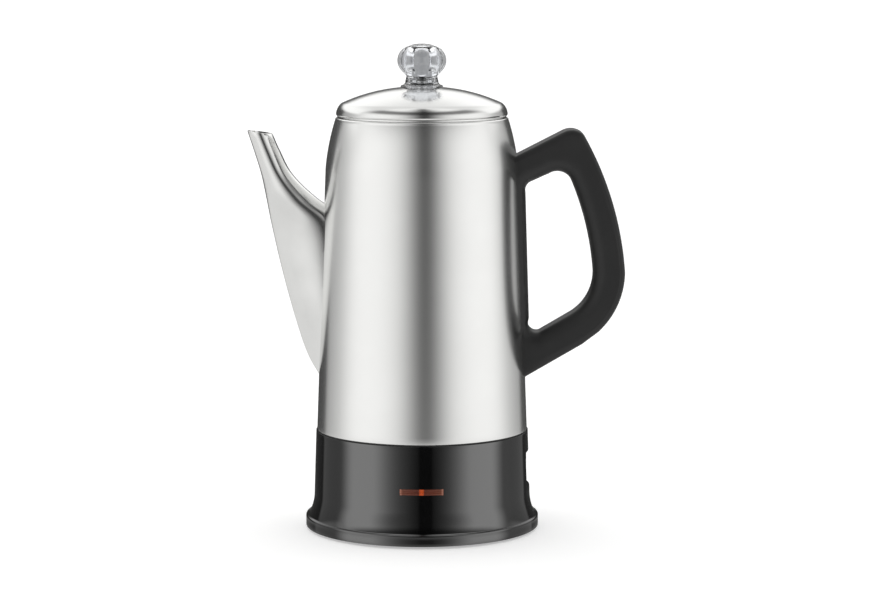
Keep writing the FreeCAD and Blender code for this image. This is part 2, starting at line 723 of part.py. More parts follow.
make_base_housing()
make_base_cover()
make_feet()
make_studs_and_screws()
ring("base_gasket", pot_step, mm.base_top_radius - 0.7, mm.base_height, seam)

# ---------------------------------------------------------------- heater
nut_top = mm.pot_floor - mm.well_gasket_height
nut_bottom = nut_top - mm.well_nut_height
element_low = mm.well_bottom + 1.5
element_high = element_low + mm.element_height
warmer_low = mm.pot_floor - mm.warmer_thickness
thermostat_low = warmer_low - 9.0
well_bore = mm.well_radius - mm.well_wall


def make_heater():
    keep("heater_well", turned("heater_well", [
        (ZERO, mm.well_bottom), (mm.well_radius, mm.well_bottom), (mm.well_radius, floor_top),
        (mm.well_flange, floor_top), (mm.well_flange, floor_top + mm.well_wall),
        (well_bore, floor_top + mm.well_wall), (well_bore, mm.well_bottom + mm.well_wall),
        (ZERO, mm.well_bottom + mm.well_wall)]))
    ring("well_gasket", mm.well_radius, mm.well_flange, nut_top, mm.pot_floor)
    hexagon = doc.addObject("Part::Prism", "WellNutBlank")
    hexagon.Polygon = 6
    bind(hexagon, "Circumradius", mm.well_flange + 1.6)
    bind(hexagon, "Height", mm.well_nut_height)
    bind(hexagon, ".Placement.Base.z", nut_bottom)
    bore = rod("WellNutBore", mm.well_radius, mm.well_nut_height + 2.0, (ZERO, ZERO, nut_bottom - 1.0), "Z")
    keep("well_nut", cut("WellNutCut", hexagon, bore))
    ring("heating_element", mm.well_radius, mm.element_radius, element_low, element_high)
    ring("keep_warm_plate", mm.element_radius, mm.warmer_radius, warmer_low, mm.pot_floor)
    can = turned("thermostat", [
        (ZERO, thermostat_low), (mm.thermostat_radius, thermostat_low),
        (mm.thermostat_radius, warmer_low - 1.5), (mm.thermostat_radius + 2.0, warmer_low - 1.5),
        (mm.thermostat_radius + 2.0, warmer_low), (ZERO, warmer_low)])
    bind(can, ".Placement.Base.y", mm.thermostat_place)
    keep("thermostat", can)
    keep("thermal_fuse", rod("ThermalFuse", Size.of(2.3), Size.of(14.0),
                             (Size.of(-7.0), -mm.thermostat_place, warmer_low - 2.3), "X"))


make_heater()

# ---------------------------------------------------------------- inlet and indicator lamp
def make_inlet():
    wall = mm.inlet_wall
    outer = block("InletBlock", (mm.inlet_back, mm.inlet_face), (-inlet_half, inlet_half),
                  (inlet_low, inlet_high))
    hollow = block("InletHollow", (mm.inlet_back + wall * 1.5, mm.inlet_face + 2.0),
                   (-inlet_half + wall, inlet_half - wall), (inlet_low + wall, inlet_high - wall))
    holes = []
    for name, side in (("InletHoleA", 0.5), ("InletHoleB", -0.5)):
        holes.append(rod(name, mm.pin_tail_radius, mm.inlet_wall * 3.0,
                         (mm.inlet_back - 1.0, mm.pin_spacing * side, mm.inlet_middle), "X"))
    keep("inlet_socket", cut("InletCut", outer, fuse("InletTools", hollow, *holes)))
    pins = []
    tail = float(mm.inlet_back) - 6.0
    shoulder_at = float(mm.inlet_back + wall * 1.5)
    for side in (0.5, -0.5):
        start = Vector(shoulder_at, side * float(mm.pin_spacing), float(mm.inlet_middle))
        contact = Part.makeCylinder(float(mm.pin_radius), float(mm.pin_tip) - shoulder_at, start,
                                    Vector(1, 0, 0))
        tip = max((e for e in contact.Edges if e.isClosed()), key=lambda e: e.CenterOfMass.x)
        contact = contact.makeFillet(float(mm.pin_radius) * 0.5, [tip])
        thin = Part.makeCylinder(float(mm.pin_tail_radius), shoulder_at - tail,
                                 start - Vector(shoulder_at - tail, 0, 0), Vector(1, 0, 0))
        pins.append(contact.fuse(thin))
    solid("inlet_pins", Part.makeCompound(pins))


lens_back = mm.waist_radius - mm.base_wall - 4.8
lens_front = mm.waist_radius + 0.15
holder_depth = mm.lamp_radius * 2.0 + 4.6


def make_lamp():
    bar = block("LensBar", (-lens_half, lens_half), (-lens_front, -lens_back), (lens_low, lens_high))
    curve = rod("LensCurve", lens_front, mm.lens_height + 8.0, (ZERO, ZERO, lens_low - 4.0), "Z")
    face = doc.addObject("Part::Common", "LensFace")
    face.Base = bar
    face.Tool = curve
    flange = block("LensFlange", (-lens_half - 2.0, lens_half + 2.0), (-lens_back - 2.0, -lens_back),
                   (lens_low - 2.2, lens_high + 2.2))
    keep("indicator_lens", fuse("LensFused", face, flange))
    middle = -lens_back + holder_depth * 0.5
    holder = block("HolderBlock", (-lens_half + 1.2, lens_half - 1.2),
                   (-lens_back, -lens_back + holder_depth),
                   (mm.lens_middle - 5.2, mm.lens_middle + 5.2))
    bore = rod("HolderBore", mm.lamp_radius, mm.lens_width + 4.0,
               (-lens_half - 2.0, middle, mm.lens_middle), "X")
    slit = block("HolderSlit", (-mm.lamp_length * 0.5, mm.lamp_length * 0.5), (-lens_back - 1.0, middle),
                 (lens_low, lens_high))
    keep("lamp_holder", cut("HolderCut", holder, fuse("HolderTools", bore, slit)))
    keep("indicator_lamp", rod("IndicatorLamp", mm.lamp_radius, mm.lamp_length,
                               (-mm.lamp_length * 0.5, middle, mm.lens_middle), "X"))
    keep("lamp_resistor", rod("LampResistor", Size.of(1.6), Size.of(8.0),
                              (mm.lamp_length * 0.5, middle, mm.lens_middle), "X"))
    return middle


make_inlet()
lamp_line = make_lamp()


# ---------------------------------------------------------------- wires
def wire(label, route):
    """A round wire along straight runs that are joined by tangent arcs."""
    points = [Vector(*[float(v) for v in p]) for p in route]
    edges = []
    place = points[0]
    for before, corner, after in zip(points, points[1:], points[2:]):
        back = (before - corner).normalize()
        ahead = (after - corner).normalize()
        trim = 0.45 * min((before - corner).Length, (after - corner).Length)
        first = corner + back * trim
        last = corner + ahead * trim
        half_angle = back.getAngle(ahead) / 2
        to_middle = (back + ahead).normalize()
        radius = trim * math.tan(half_angle)
        middle = corner + to_middle * (trim / math.cos(half_angle) - radius)
        edges.append(Part.LineSegment(place, first).toShape())
        edges.append(Part.Arc(first, middle, last).toShape())
        place = last
    edges.append(Part.LineSegment(place, points[-1]).toShape())
    path = Part.Wire(edges)
    disc = Part.Wire([Part.Circle(points[0], points[1] - points[0], float(mm.wire_radius)).toShape()])
    shape = path.makePipeShell([disc], True, False)
    expected = math.pi * float(mm.wire_radius) ** 2 * path.Length
    if abs(shape.Volume - expected) > 0.01 * expected:
        raise ValueError("%s: the wire's volume is wrong" % label)
    return solid(label, shape)


def make_wires():
    pin_tail = mm.inlet_back - 6.0
    side = mm.pin_spacing * 0.5
    level = mm.inlet_middle
    back = mm.thermostat_place
    coil = float(mm.element_radius)
    diagonal = coil * HALF_TURN_POINT
    outward = diagonal + 7.0
    fuse_level = warmer_low - 2.3
    element_level = element_low + 6.5
    wire("live_wire", [(pin_tail, side, level), (pin_tail - 6.0, side, level), (24, 22, 34),
                       (13, 32, 32), (4, back, 34), (4, back, thermostat_low)])
    wire("neutral_wire", [(pin_tail, -side, level), (pin_tail - 6.0, -side, level), (27, -18, level + 2.0),
                          (23, -28, fuse_level - 3.0), (16, -back, fuse_level), (7, -back, fuse_level)])
    wire("thermostat_wire", [(-4, back, thermostat_low), (-4, back, 35), (-12, 31, 33),
                             (-outward, outward, element_level), (-diagonal, diagonal, element_level)])
    wire("fuse_wire", [(-7, -back, fuse_level), (-16, -back, fuse_level - 1.0),
                       (-outward, -outward, element_level), (-diagonal, -diagonal, element_level)])
    wire("lamp_neutral_wire", [(mm.lamp_length * 0.5 + 8.0, lamp_line, mm.lens_middle),
                               (27, lamp_line, mm.lens_middle), (37, -46, 35),
                               (41, -32, level), (41, -side - mm.pin_tail_radius, level)])
    wire("lamp_live_wire", [(-mm.lamp_length * 0.5, lamp_line, mm.lens_middle),
                            (-22, lamp_line, mm.lens_middle), (-33, -44, 33), (-40, -28, 33),
                            (-43, -6, 34), (-39, 14, 38), (-28, 28, 44), (-17, back, 44),
                            (-mm.thermostat_radius, back, 44)])


make_wires()

# ---------------------------------------------------------------- pump
pump_low = mm.well_bottom + mm.well_wall + mm.slip_gap
seat_top = pump_low + 2.3
bell_top = pump_low + mm.pump_foot_height
bell_neck = mm.tube_radius + 0.9
stop_low = mm.basket_floor - mm.slip_gap - 4.0
tube_bore = mm.tube_radius - mm.tube_wall


def make_pump():
    foot = turned("pump_foot", [
        (Size.of(5.0), pump_low), (mm.pump_foot_radius, pump_low),
        (mm.pump_foot_radius, seat_top + 4.5), (bell_neck, bell_top - 8.0), (bell_neck, bell_top),
        (mm.tube_radius, bell_top), (mm.tube_radius, bell_top - 8.0),
        (mm.pump_foot_radius - 0.8, seat_top + 4.2), (mm.pump_foot_radius - 0.8, seat_top),
        (Size.of(5.0), seat_top)])
    inlets = new_sketch(foot, "FootInlets", "XZ_Plane")
    circle(inlets, ZERO, pump_low + 1.15, Size.of(0.8))
    pocket(foot, inlets, mm.pump_foot_radius + 1.0)
    keep("pump_foot", foot)
    ring("pump_tube", tube_bore, mm.tube_radius, bell_top - 8.0, mm.tube_top)
    ring("basket_stop", mm.tube_radius, mm.hub_radius, stop_low, mm.basket_floor - mm.slip_gap)
    ring("pump_valve", Size.of(1.0), mm.valve_radius, seat_top + mm.slip_gap, seat_top + mm.slip_gap + 0.8)


make_pump()

# ---------------------------------------------------------------- basket and spreader
basket_top = mm.basket_floor + mm.basket_height
basket_inside = mm.basket_radius - mm.basket_wall
hub_bore = mm.tube_radius + mm.slip_gap
spreader_low = basket_top - 3.0
lip_radius = mm.basket_radius + mm.basket_lip


def perforate(body, name, rings, top, bottom):
    """Rings of small holes, each ring with twice as many as fit its own radius loosely."""
    sketch = new_sketch(body, name, "XY_Plane", top)
    for share, count in rings:
        for across, up in on_circle(mm.basket_radius * share, [360.0 * i / count for i in range(count)]):
            circle(sketch, across, up, mm.coffee_hole)
    pocket(body, sketch, top - bottom)


def make_basket():
    corner = Size.of(4.0)
    near = corner * (1 - HALF_TURN_POINT)
    wall = mm.basket_wall
    floor = mm.basket_floor
    body = turned("basket_cup", [
        (mm.hub_radius, floor),
        (mm.basket_radius - corner, floor),
        (mm.basket_radius - near, floor + near, "via"),
        (mm.basket_radius, floor + corner),
        (mm.basket_radius, basket_top - wall),
        (lip_radius, basket_top - wall),
        (lip_radius, basket_top),
        (basket_inside, basket_top),
        (basket_inside, floor + corner),
        (mm.basket_radius - wall * HALF_TURN_POINT - near, floor + near + wall * HALF_TURN_POINT, "via"),
        (mm.basket_radius - corner, floor + wall),
        (mm.hub_radius, floor + wall),
    ])
    perforate(body, "BasketHoles", [(0.26, 12), (0.42, 18), (0.58, 24), (0.74, 30)], floor + wall + 1.0,
              floor - 1.0)
    keep("basket_cup", body)
    ring("basket_hub", hub_bore, mm.hub_radius, floor, floor + mm.hub_height)


def make_spreader():
    edge = basket_inside - mm.slip_gap
    wall = mm.basket_wall
    seat = basket_top + mm.slip_gap
    collar = mm.hub_radius
    body = turned("basket_spreader", [
        (collar, spreader_low), (edge, spreader_low), (edge, seat), (lip_radius, seat),
        (lip_radius, seat + wall), (edge - wall, seat + wall), (edge - wall, spreader_low + wall),
        (collar, spreader_low + wall)])
    perforate(body, "SpreaderHoles", [(0.24, 10), (0.40, 16), (0.56, 22), (0.72, 28), (0.86, 34)],
              spreader_low + wall + 1.0, spreader_low - 1.0)
    keep("basket_spreader", body)
    ring("spreader_collar", hub_bore, collar, spreader_low, spreader_low + 8.0)


make_basket()
make_spreader()

# ---------------------------------------------------------------- lid and knob
lid_low = mm.lid_low
lid_shoulder = mm.lid_shoulder
lid_top = mm.lid_top
dome_middle = (mm.lid_shoulder_radius + mm.lid_hole) * 0.5 + 0.5
dome_level = lid_shoulder + mm.lid_dome_height * 0.5 + 1.75
skirt_radius = mm.rim_radius - mm.rim_bead - 0.6
lug_height = Size.of(2.4)
lug_low = lid_top - mm.lid_wall - 0.6 - mm.slip_gap - lug_height
UNLOCK_ANGLE = 60.0


def make_lid():
    wall = mm.lid_wall
    shell = turned("lid_shell", [
        (mm.lid_radius - wall, lid_low),
        (mm.lid_radius, lid_low),
        (mm.lid_radius, lid_low + 1.4),
        (mm.lid_radius - 0.75, lid_low + 4.9, "via"),
        (mm.lid_shoulder_radius, lid_shoulder),
        (dome_middle, dome_level, "via"),
        (mm.lid_hole, lid_top),
        (mm.lid_hole, lid_top - wall),
        (dome_middle, dome_level - wall, "via"),
        (mm.lid_shoulder_radius - wall, lid_shoulder - wall),
        (mm.lid_radius - 0.75 - wall, lid_low + 4.6, "via"),
        (mm.lid_radius - wall, lid_low + 1.4),
    ])
    notches = new_sketch(shell, "LugNotches", "XY_Plane", lid_top + 1.0)
    side = mm.lug_reach + mm.slip_gap
    reach = mm.lid_hole - 1.0 + mm.lug_reach + mm.slip_gap
    for angle in (90.0 + UNLOCK_ANGLE, 270.0 + UNLOCK_ANGLE):
        cos, sin = math.cos(math.radians(angle)), math.sin(math.radians(angle))
        corners = [(0.0, -1), (1.0, -1), (1.0, 1), (0.0, 1)]
        outline(notches, [(reach * (cos * out) - side * (sin * way) + 4.0 * cos * (1 - out),
                           reach * (sin * out) + side * (cos * way) + 4.0 * sin * (1 - out))
                          for out, way in corners])
    pocket(shell, notches, Size.of(4.0))
    keep("lid_shell", shell)
    flange = lid_low + wall
    keep("lid_skirt", turned("lid_skirt", [
        (skirt_radius - wall, lid_low - mm.skirt_depth), (skirt_radius, lid_low - mm.skirt_depth),
        (skirt_radius, lid_low), (mm.lid_radius - wall, lid_low), (mm.lid_radius - wall, flange),
        (skirt_radius - wall, flange)]))


def make_knob():
    """A clear hollow knob, held by two lugs under the lid."""
    seat = lid_top + mm.slip_gap
    top = seat + mm.knob_height
    neck = mm.knob_neck
    bore = neck - mm.knob_wall
    ball = seat + mm.knob_height * 0.62
    low = lid_top - 6.5
    stem = mm.lid_hole - 1.0
    inner = mm.knob_radius - mm.knob_wall
    body = turned("knob", [
        (bore, low), (stem, low), (stem, seat), (mm.lid_hole + 2.2, seat), (mm.lid_hole + 1.6, seat + 0.9),
        (neck + 0.9, seat + 2.2, "via"), (neck, seat + 5.3), (mm.knob_radius - 2.7, seat + 9.1),
        (mm.knob_radius, ball + 0.2, "via"), (mm.knob_radius * 0.545, top - 1.5),
        (mm.knob_radius * 0.32, top - 0.3), (ZERO, top),
        (ZERO, top - mm.knob_wall), (inner * 0.5, top - mm.knob_wall - 0.8),
        (inner, ball + 0.2, "via"), (inner - 2.6, seat + 10.2), (bore, seat + 5.3)])
    lugs = new_sketch(body, "Lugs", "XY_Plane", lug_low)
    reach = stem + mm.lug_reach
    box_outline(lugs, -mm.lug_reach, mm.lug_reach, bore + 0.6, reach)
    box_outline(lugs, -mm.lug_reach, mm.lug_reach, -reach, -bore - 0.6)
    pad(body, lugs, lug_height)
    return keep("knob", body)


make_lid()
make_knob()

# ---------------------------------------------------------------- check and write
doc.recompute()
problems = [o.Label for o in doc.Objects if "Invalid" in o.State or "Error" in o.State]
problems += [n.Label for n in nodes if n.Shape.isNull() or not n.Shape.isValid() or not n.Shape.Solids]
for node in nodes:
    box = node.Shape.BoundBox
    print("%-22s %2d solid(s) %10.1f mm3  z %.1f to %.1f" % (
        node.Label, len(node.Shape.Solids), node.Shape.Volume, box.ZMin, box.ZMax))
if problems:
    raise RuntimeError("failed: " + ", ".join(problems))
os.makedirs("parts", exist_ok=True)
for node in nodes:
    node.Shape.exportStep(os.path.join("parts", node.Label + ".step"))
print(len(nodes), "sub-parts written")
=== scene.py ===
# %% [markdown]
# # An electric coffee percolator
# This lesson builds the look of a countertop percolator round a finished engineering model. The
# pot and lid are satin stainless steel, the spout is polished, the handle is matt black plastic,
# the base is glossy black plastic with an amber lamp, and the knob is clear. We load the
# engineering model first, because every piece here takes its place from it.

# %% Load the engineering model
import bpy, bmesh, json, math
import numpy as np
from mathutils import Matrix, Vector


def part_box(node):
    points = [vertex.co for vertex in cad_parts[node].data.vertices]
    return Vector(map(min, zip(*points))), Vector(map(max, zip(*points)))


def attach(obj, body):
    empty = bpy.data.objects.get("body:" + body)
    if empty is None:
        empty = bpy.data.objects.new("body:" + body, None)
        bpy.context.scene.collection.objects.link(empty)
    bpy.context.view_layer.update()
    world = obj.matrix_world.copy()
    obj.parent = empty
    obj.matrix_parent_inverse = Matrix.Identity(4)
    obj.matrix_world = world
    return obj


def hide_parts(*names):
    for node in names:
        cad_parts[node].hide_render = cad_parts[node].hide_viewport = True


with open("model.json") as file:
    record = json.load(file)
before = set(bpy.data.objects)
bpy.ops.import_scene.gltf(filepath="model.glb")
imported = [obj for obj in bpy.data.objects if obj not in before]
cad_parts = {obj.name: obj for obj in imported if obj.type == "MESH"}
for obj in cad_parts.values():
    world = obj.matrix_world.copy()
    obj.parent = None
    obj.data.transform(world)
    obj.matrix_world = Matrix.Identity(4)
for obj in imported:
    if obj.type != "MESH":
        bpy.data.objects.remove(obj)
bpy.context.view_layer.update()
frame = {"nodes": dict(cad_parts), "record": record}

MM = 0.001

# %% [markdown]
# ## The camera
# A product like this is usually shown from a little above, through a long lens, so that its sides
# stay almost parallel. The camera looks along +Y and tips down by about seven degrees.

# %% Place the camera
LENS_MM, SENSOR_MM, TIP_DOWN = 115.2, 36, 7.18
CAMERA_PLACE = (0.0087, -1.720, 0.359)  # metres
scene = bpy.context.scene
camera = bpy.data.objects.new("Camera", bpy.data.cameras.new("Camera"))
camera.data.lens = LENS_MM
camera.data.sensor_width = SENSOR_MM
camera.data.clip_end = 200
camera.location = CAMERA_PLACE
camera.rotation_euler = (math.radians(90 - TIP_DOWN), 0, 0)
scene.collection.objects.link(camera)
scene.camera = camera
scene.view_settings.view_transform = "Standard"
print("camera at", tuple(round(v, 3) for v in camera.location))

# %% [markdown]
# ## Small helpers for node trees
# Worlds, materials and geometry trees are all built from nodes. A few helpers keep that readable:
# one adds a node and fills or links its inputs, and the others do one step of arithmetic each.

# %% Node helpers
def add(tree, kind, wires=None, **settings):
    """Add a node; wires gives each input a plain value or another node's output."""
    made = tree.nodes.new(kind)
    for name, value in settings.items():
        setattr(made, name, value)
    for key, value in (wires or {}).items():
        socket = made.inputs[key]
        if isinstance(value, bpy.types.NodeSocket):
            tree.links.new(value, socket)
        else:
            socket.default_value = value
    return made


def calc(tree, operation, *values):
    """One step of arithmetic in any kind of tree."""
    return add(tree, "ShaderNodeMath", dict(enumerate(values)), operation=operation).outputs[0]


def span(tree, value, low, high, to_low=0.0, to_high=1.0):
    """Map one range smoothly onto another."""
    return add(tree, "ShaderNodeMapRange", {0: value, 1: low, 2: high, 3: to_low, 4: to_high},
               interpolation_type="SMOOTHSTEP").outputs[0]


def times(tree, first, second):
    return calc(tree, "MULTIPLY", first, second)


def plus(tree, first, second):
    return calc(tree, "ADD", first, second)


def minus(tree, first, second):
    return calc(tree, "SUBTRACT", first, second)


def mix(tree, first, second, share):
    """Part of one number and part of another."""
    return plus(tree, times(tree, first, minus(tree, 1.0, share)), times(tree, second, share))


def vector(tree, x=0.0, y=0.0, z=0.0):
    """Three numbers as one vector."""
    return add(tree, "ShaderNodeCombineXYZ", {0: x, 1: y, 2: z}).outputs[0]


def parts(tree, value):
    """The X, Y and Z of a vector."""
    return add(tree, "ShaderNodeSeparateXYZ", {0: value}).outputs


def colour_ramp(tree, share, stops):
    """A ramp through stops of (position, colour)."""
    ramp = add(tree, "ShaderNodeValToRGB", {0: share})
    elements = ramp.color_ramp.elements
    while len(elements) < len(stops):
        elements.new(0.5)
    for element, (position, colour) in zip(elements, stops):
        element.position = position
        element.color = colour + (1,)
    return ramp.outputs["Color"]


print("node helpers ready")

# %% [markdown]
# ## The studio
# Polished steel shows the room more than itself, so the room is the most important part of the
# look. Here the room is painted on the world as brightness by direction: a dark strip behind the
# camera, a large soft light on each side of it, and dark edges behind the object that draw its
# outline. Over these lie bands by height: a dimmer one that the lid's dome mirrors, and light
# from the floor. The alternative is real lamps and cards, but a painted room has no noise and is
# easy to adjust.

# %% Paint the room
ROOM = [  # degrees away from the camera's own direction, brightness
    (0, 0.05), (6, 0.05), (8, 0.17), (14, 0.36), (22, 0.66), (29, 0.88), (36, 1.02), (43, 1.10),
    (50, 1.16), (57, 1.19), (64, 1.20), (72, 1.20), (80, 1.18), (89, 1.10), (98, 0.90), (108, 0.68),
    (120, 0.54), (134, 0.45), (138, 0.08), (180, 0.06)]
ROOM_TOP = 1.2  # the ramp holds shares of this level
ROOM_SPIN = 4.0  # degrees that the whole room is turned by
GLASS_ROOM = 0.36  # the least light that rays through clear plastic meet
# Each band is the range over which it fades in. Heights are the Z of a direction.
BEHIND_BAND, BEHIND_LIGHT = (0.42, 0.60), 1.3  # shares of the half turn from the camera to the back
RAISED_BAND, FLOOR_BAND, FLOOR_LIGHT = (0.20, 0.34), (-0.17, -0.32), 0.90
DIM_IN, DIM_OUT, DIM_BY = (0.38, 0.62), (0.74, 0.90), 0.8
OVERHEAD_BAND, OVERHEAD_LIGHT = (0.55, 0.85), 0.95


def paint_world():
    world = bpy.data.worlds.new("Studio")
    scene.world = world
    world.use_nodes = True
    tree = world.node_tree
    tree.nodes.clear()
    seen = add(tree, "ShaderNodeTexCoord").outputs["Generated"]
    spun = add(tree, "ShaderNodeMapping", {0: seen, 2: (0, 0, math.radians(-ROOM_SPIN))},
               vector_type="POINT")
    turned = parts(tree, spun.outputs[0])
    height = turned["Z"]
    across, forward = calc(tree, "ABSOLUTE", turned["X"]), times(tree, turned["Y"], -1.0)
    share = calc(tree, "DIVIDE", calc(tree, "ARCTAN2", across, forward), math.pi)
    stops = [(degrees / 180, (light / ROOM_TOP,) * 3) for degrees, light in ROOM]
    level = times(tree, colour_ramp(tree, share, stops), ROOM_TOP)
    behind = span(tree, share, *BEHIND_BAND)
    dim = times(tree, span(tree, height, *DIM_IN), span(tree, height, *DIM_OUT, 1.0, 0.0))
    dim = times(tree, dim, minus(tree, DIM_BY, times(tree, behind, DIM_BY)))
    level = times(tree, level, minus(tree, 1.0, dim))
    high = calc(tree, "MAXIMUM", times(tree, behind, BEHIND_LIGHT), level)
    mixed = mix(tree, level, high, span(tree, height, *RAISED_BAND))
    overhead = times(tree, span(tree, height, *OVERHEAD_BAND), behind)
    mixed = mix(tree, mixed, OVERHEAD_LIGHT, overhead)
    mixed = mix(tree, mixed, FLOOR_LIGHT, span(tree, height, *FLOOR_BAND))
    path = add(tree, "ShaderNodeLightPath").outputs
    through = times(tree, path["Is Transmission Ray"], GLASS_ROOM)
    strength = calc(tree, "MAXIMUM", calc(tree, "MAXIMUM", mixed, through), path["Is Camera Ray"])
    room = add(tree, "ShaderNodeBackground", {0: (1.0, 1.0, 0.995, 1), 1: strength})
    add(tree, "ShaderNodeOutputWorld", {0: room.outputs[0]})


paint_world()
print("room painted with", len(ROOM), "stops")

# %% [markdown]
# ## The floor
# The floor is a plain white sheet. It glows a little, so that it stays white in the frame and
# only the soft shadow under the base shows. Steel doesn't mirror it, which keeps the pot's lower
# edge clean.

# %% Lay the floor
FLOOR_HALF, FLOOR_GLOW = 40.0, 0.40


def lay_floor():
    mesh = bpy.data.meshes.new("Floor")
    corners = ((-1, -1), (1, -1), (1, 1), (-1, 1))
    mesh.from_pydata([(x * FLOOR_HALF, y * FLOOR_HALF, 0) for x, y in corners], [], [(0, 1, 2, 3)])
    floor = bpy.data.objects.new("Floor", mesh)
    scene.collection.objects.link(floor)
    white = bpy.data.materials.new("White sheet")
    white.use_nodes = True
    shader = white.node_tree.nodes["Principled BSDF"]
    for key, value in {"Base Color": (0.9, 0.9, 0.9, 1), "Roughness": 0.9,
                       "Specular IOR Level": 0.0, "Emission Color": (1, 1, 1, 1),
                       "Emission Strength": FLOOR_GLOW}.items():
        shader.inputs[key].default_value = value
    mesh.materials.append(white)
    floor.visible_glossy = False
    floor.visible_transmission = False


lay_floor()
print("floor laid")

# %% [markdown]
# ## Shared surface effects
# Real surfaces are never one number. Three effects are used by many finishes here, so each is a
# node group with named inputs: fine rings left by polishing on a lathe, the fine grain of moulded
# plastic, and the faint patches that hands leave. A group only changes numbers; the shader stays
# outside it.

# %% Build the shared effects
def new_effect(name, inputs, outputs):
    """A shader node group with named number inputs and outputs."""
    tree = bpy.data.node_groups.new(name, "ShaderNodeTree")
    for label, value in inputs:
        socket = tree.interface.new_socket(label, in_out="INPUT", socket_type="NodeSocketFloat")
        socket.default_value = value
    for label in outputs:
        tree.interface.new_socket(label, in_out="OUTPUT", socket_type="NodeSocketFloat")
    start = add(tree, "NodeGroupInput")
    end = add(tree, "NodeGroupOutput")
    return tree, start, end


def object_place(tree):
    return add(tree, "ShaderNodeTexCoord").outputs["Object"]


def close_effect(tree, start, end, noise):
    """The noise is the height, and it varies the roughness about its middle value."""
    vary = times(tree, minus(tree, noise, 0.5), start.outputs["Variation"])
    tree.links.new(plus(tree, start.outputs["Roughness"], vary), end.inputs["Roughness"])
    tree.links.new(noise, end.inputs["Height"])
    return tree


def build_turned_grain():
    """Fine rings round the Z axis, as a lathe leaves them."""
    tree, start, end = new_effect("Turned grain", [
        ("Rings per metre", 2600.0), ("Roughness", 0.2), ("Variation", 0.05)],
        ["Roughness", "Height"])
    place = parts(tree, object_place(tree))
    squares = [calc(tree, "POWER", place[axis], 2.0) for axis in "XY"]
    radius = calc(tree, "SQRT", plus(tree, *squares))
    side = calc(tree, "ARCTAN2", place["Y"], place["X"])
    rings = start.outputs["Rings per metre"]
    line = vector(tree, times(tree, radius, rings), times(tree, place["Z"], rings),
                  times(tree, side, 3.0))
    fine = add(tree, "ShaderNodeTexNoise", {"Vector": line, "Scale": 1.0, "Detail": 2.0})
    return close_effect(tree, start, end, fine.outputs[0])


def build_moulded_skin():
    """The even, very fine texture of a moulded plastic surface."""
    tree, start, end = new_effect("Moulded skin", [
        ("Grains per metre", 2200.0), ("Roughness", 0.5), ("Variation", 0.1)],
        ["Roughness", "Height"])
    grain = add(tree, "ShaderNodeTexNoise", {
        "Vector": object_place(tree), "Scale": start.outputs["Grains per metre"], "Detail": 3.0})
    return close_effect(tree, start, end, grain.outputs[0])


def build_handling():
    """Soft patches from hands and cleaning, as a mask from 0 to 1."""
    tree, start, end = new_effect("Handling", [("Patches per metre", 22.0)], ["Mask"])
    patch = add(tree, "ShaderNodeTexNoise", {
        "Vector": object_place(tree), "Scale": start.outputs["Patches per metre"], "Detail": 4.0,
        "Roughness": 0.6})
    tree.links.new(span(tree, patch.outputs[0], 0.42, 0.68), end.inputs["Mask"])
    return tree


EFFECTS = {"grain": build_turned_grain(), "skin": build_moulded_skin(), "hands": build_handling()}
print("effects:", ", ".join(group.name for group in EFFECTS.values()))

# %% [markdown]
# ## Finishes
# Each finish is one Principled shader with one of the effects above. Numbers that are the same
# all over sit on the shader's own sockets. The pot's and the lid's steel gets glossier where the
# surface turns away, as satin steel does, and the base mirrors less in its middle and at its
# sides, so that its gloss shows as two soft bands.

# %% Make the finishes
PER_METRE = {"grain": "Rings per metre", "skin": "Grains per metre"}
GLANCING_FROM = (0.50, 0.66)  # facing values over which a satin finish gets glossier
# Facing values and mirror levels of a quiet finish: the front fades in, the sides fade out.
QUIET_FRONT, QUIET_SIDES = (0.015, 0.13, 0.13, 0.5), (0.24, 0.37, 1.0, 0.22)


def facing_span(tree, *limits):
    """A smooth change between surfaces that face the eye and surfaces that turn away."""
    return span(tree, add(tree, "ShaderNodeLayerWeight", {0: 0.5}).outputs["Facing"], *limits)


def finish(name, colour, worn, effect, sockets, per_metre, roughness, variation,
           bump=0.0, glancing=None, quiet=False):
    """One named material. worn is the colour that handled patches lean towards, bump is in mm."""
    material = bpy.data.materials.new(name)
    material.use_nodes = True
    tree = material.node_tree
    shader = tree.nodes["Principled BSDF"]
    for key, value in sockets.items():
        shader.inputs[key].default_value = value
    shader.inputs["Base Color"].default_value = colour + (1,)
    if quiet:
        level = times(tree, facing_span(tree, *QUIET_FRONT), facing_span(tree, *QUIET_SIDES))
        tree.links.new(level, shader.inputs["Specular IOR Level"])
    if worn:
        mask = add(tree, "ShaderNodeGroup", node_tree=EFFECTS["hands"]).outputs["Mask"]
        blend = add(tree, "ShaderNodeMix", data_type="RGBA")
        tree.links.new(mask, blend.inputs[0])
        blend.inputs[6].default_value = colour + (1,)
        blend.inputs[7].default_value = worn + (1,)
        tree.links.new(blend.outputs[2], shader.inputs["Base Color"])
    group = add(tree, "ShaderNodeGroup", node_tree=EFFECTS[effect])
    for key, value in ((PER_METRE[effect], per_metre), ("Roughness", roughness),
                       ("Variation", variation)):
        group.inputs[key].default_value = value
    rough = group.outputs["Roughness"]
    if glancing is not None:
        rough = times(tree, rough, facing_span(tree, *GLANCING_FROM, 1.0, glancing))
    tree.links.new(rough, shader.inputs["Roughness"])
    if bump:
        relief = add(tree, "ShaderNodeBump", {"Height": group.outputs["Height"], "Strength": 1.0,
                                              "Distance": bump * MM})
        tree.links.new(relief.outputs[0], shader.inputs["Normal"])
    return material


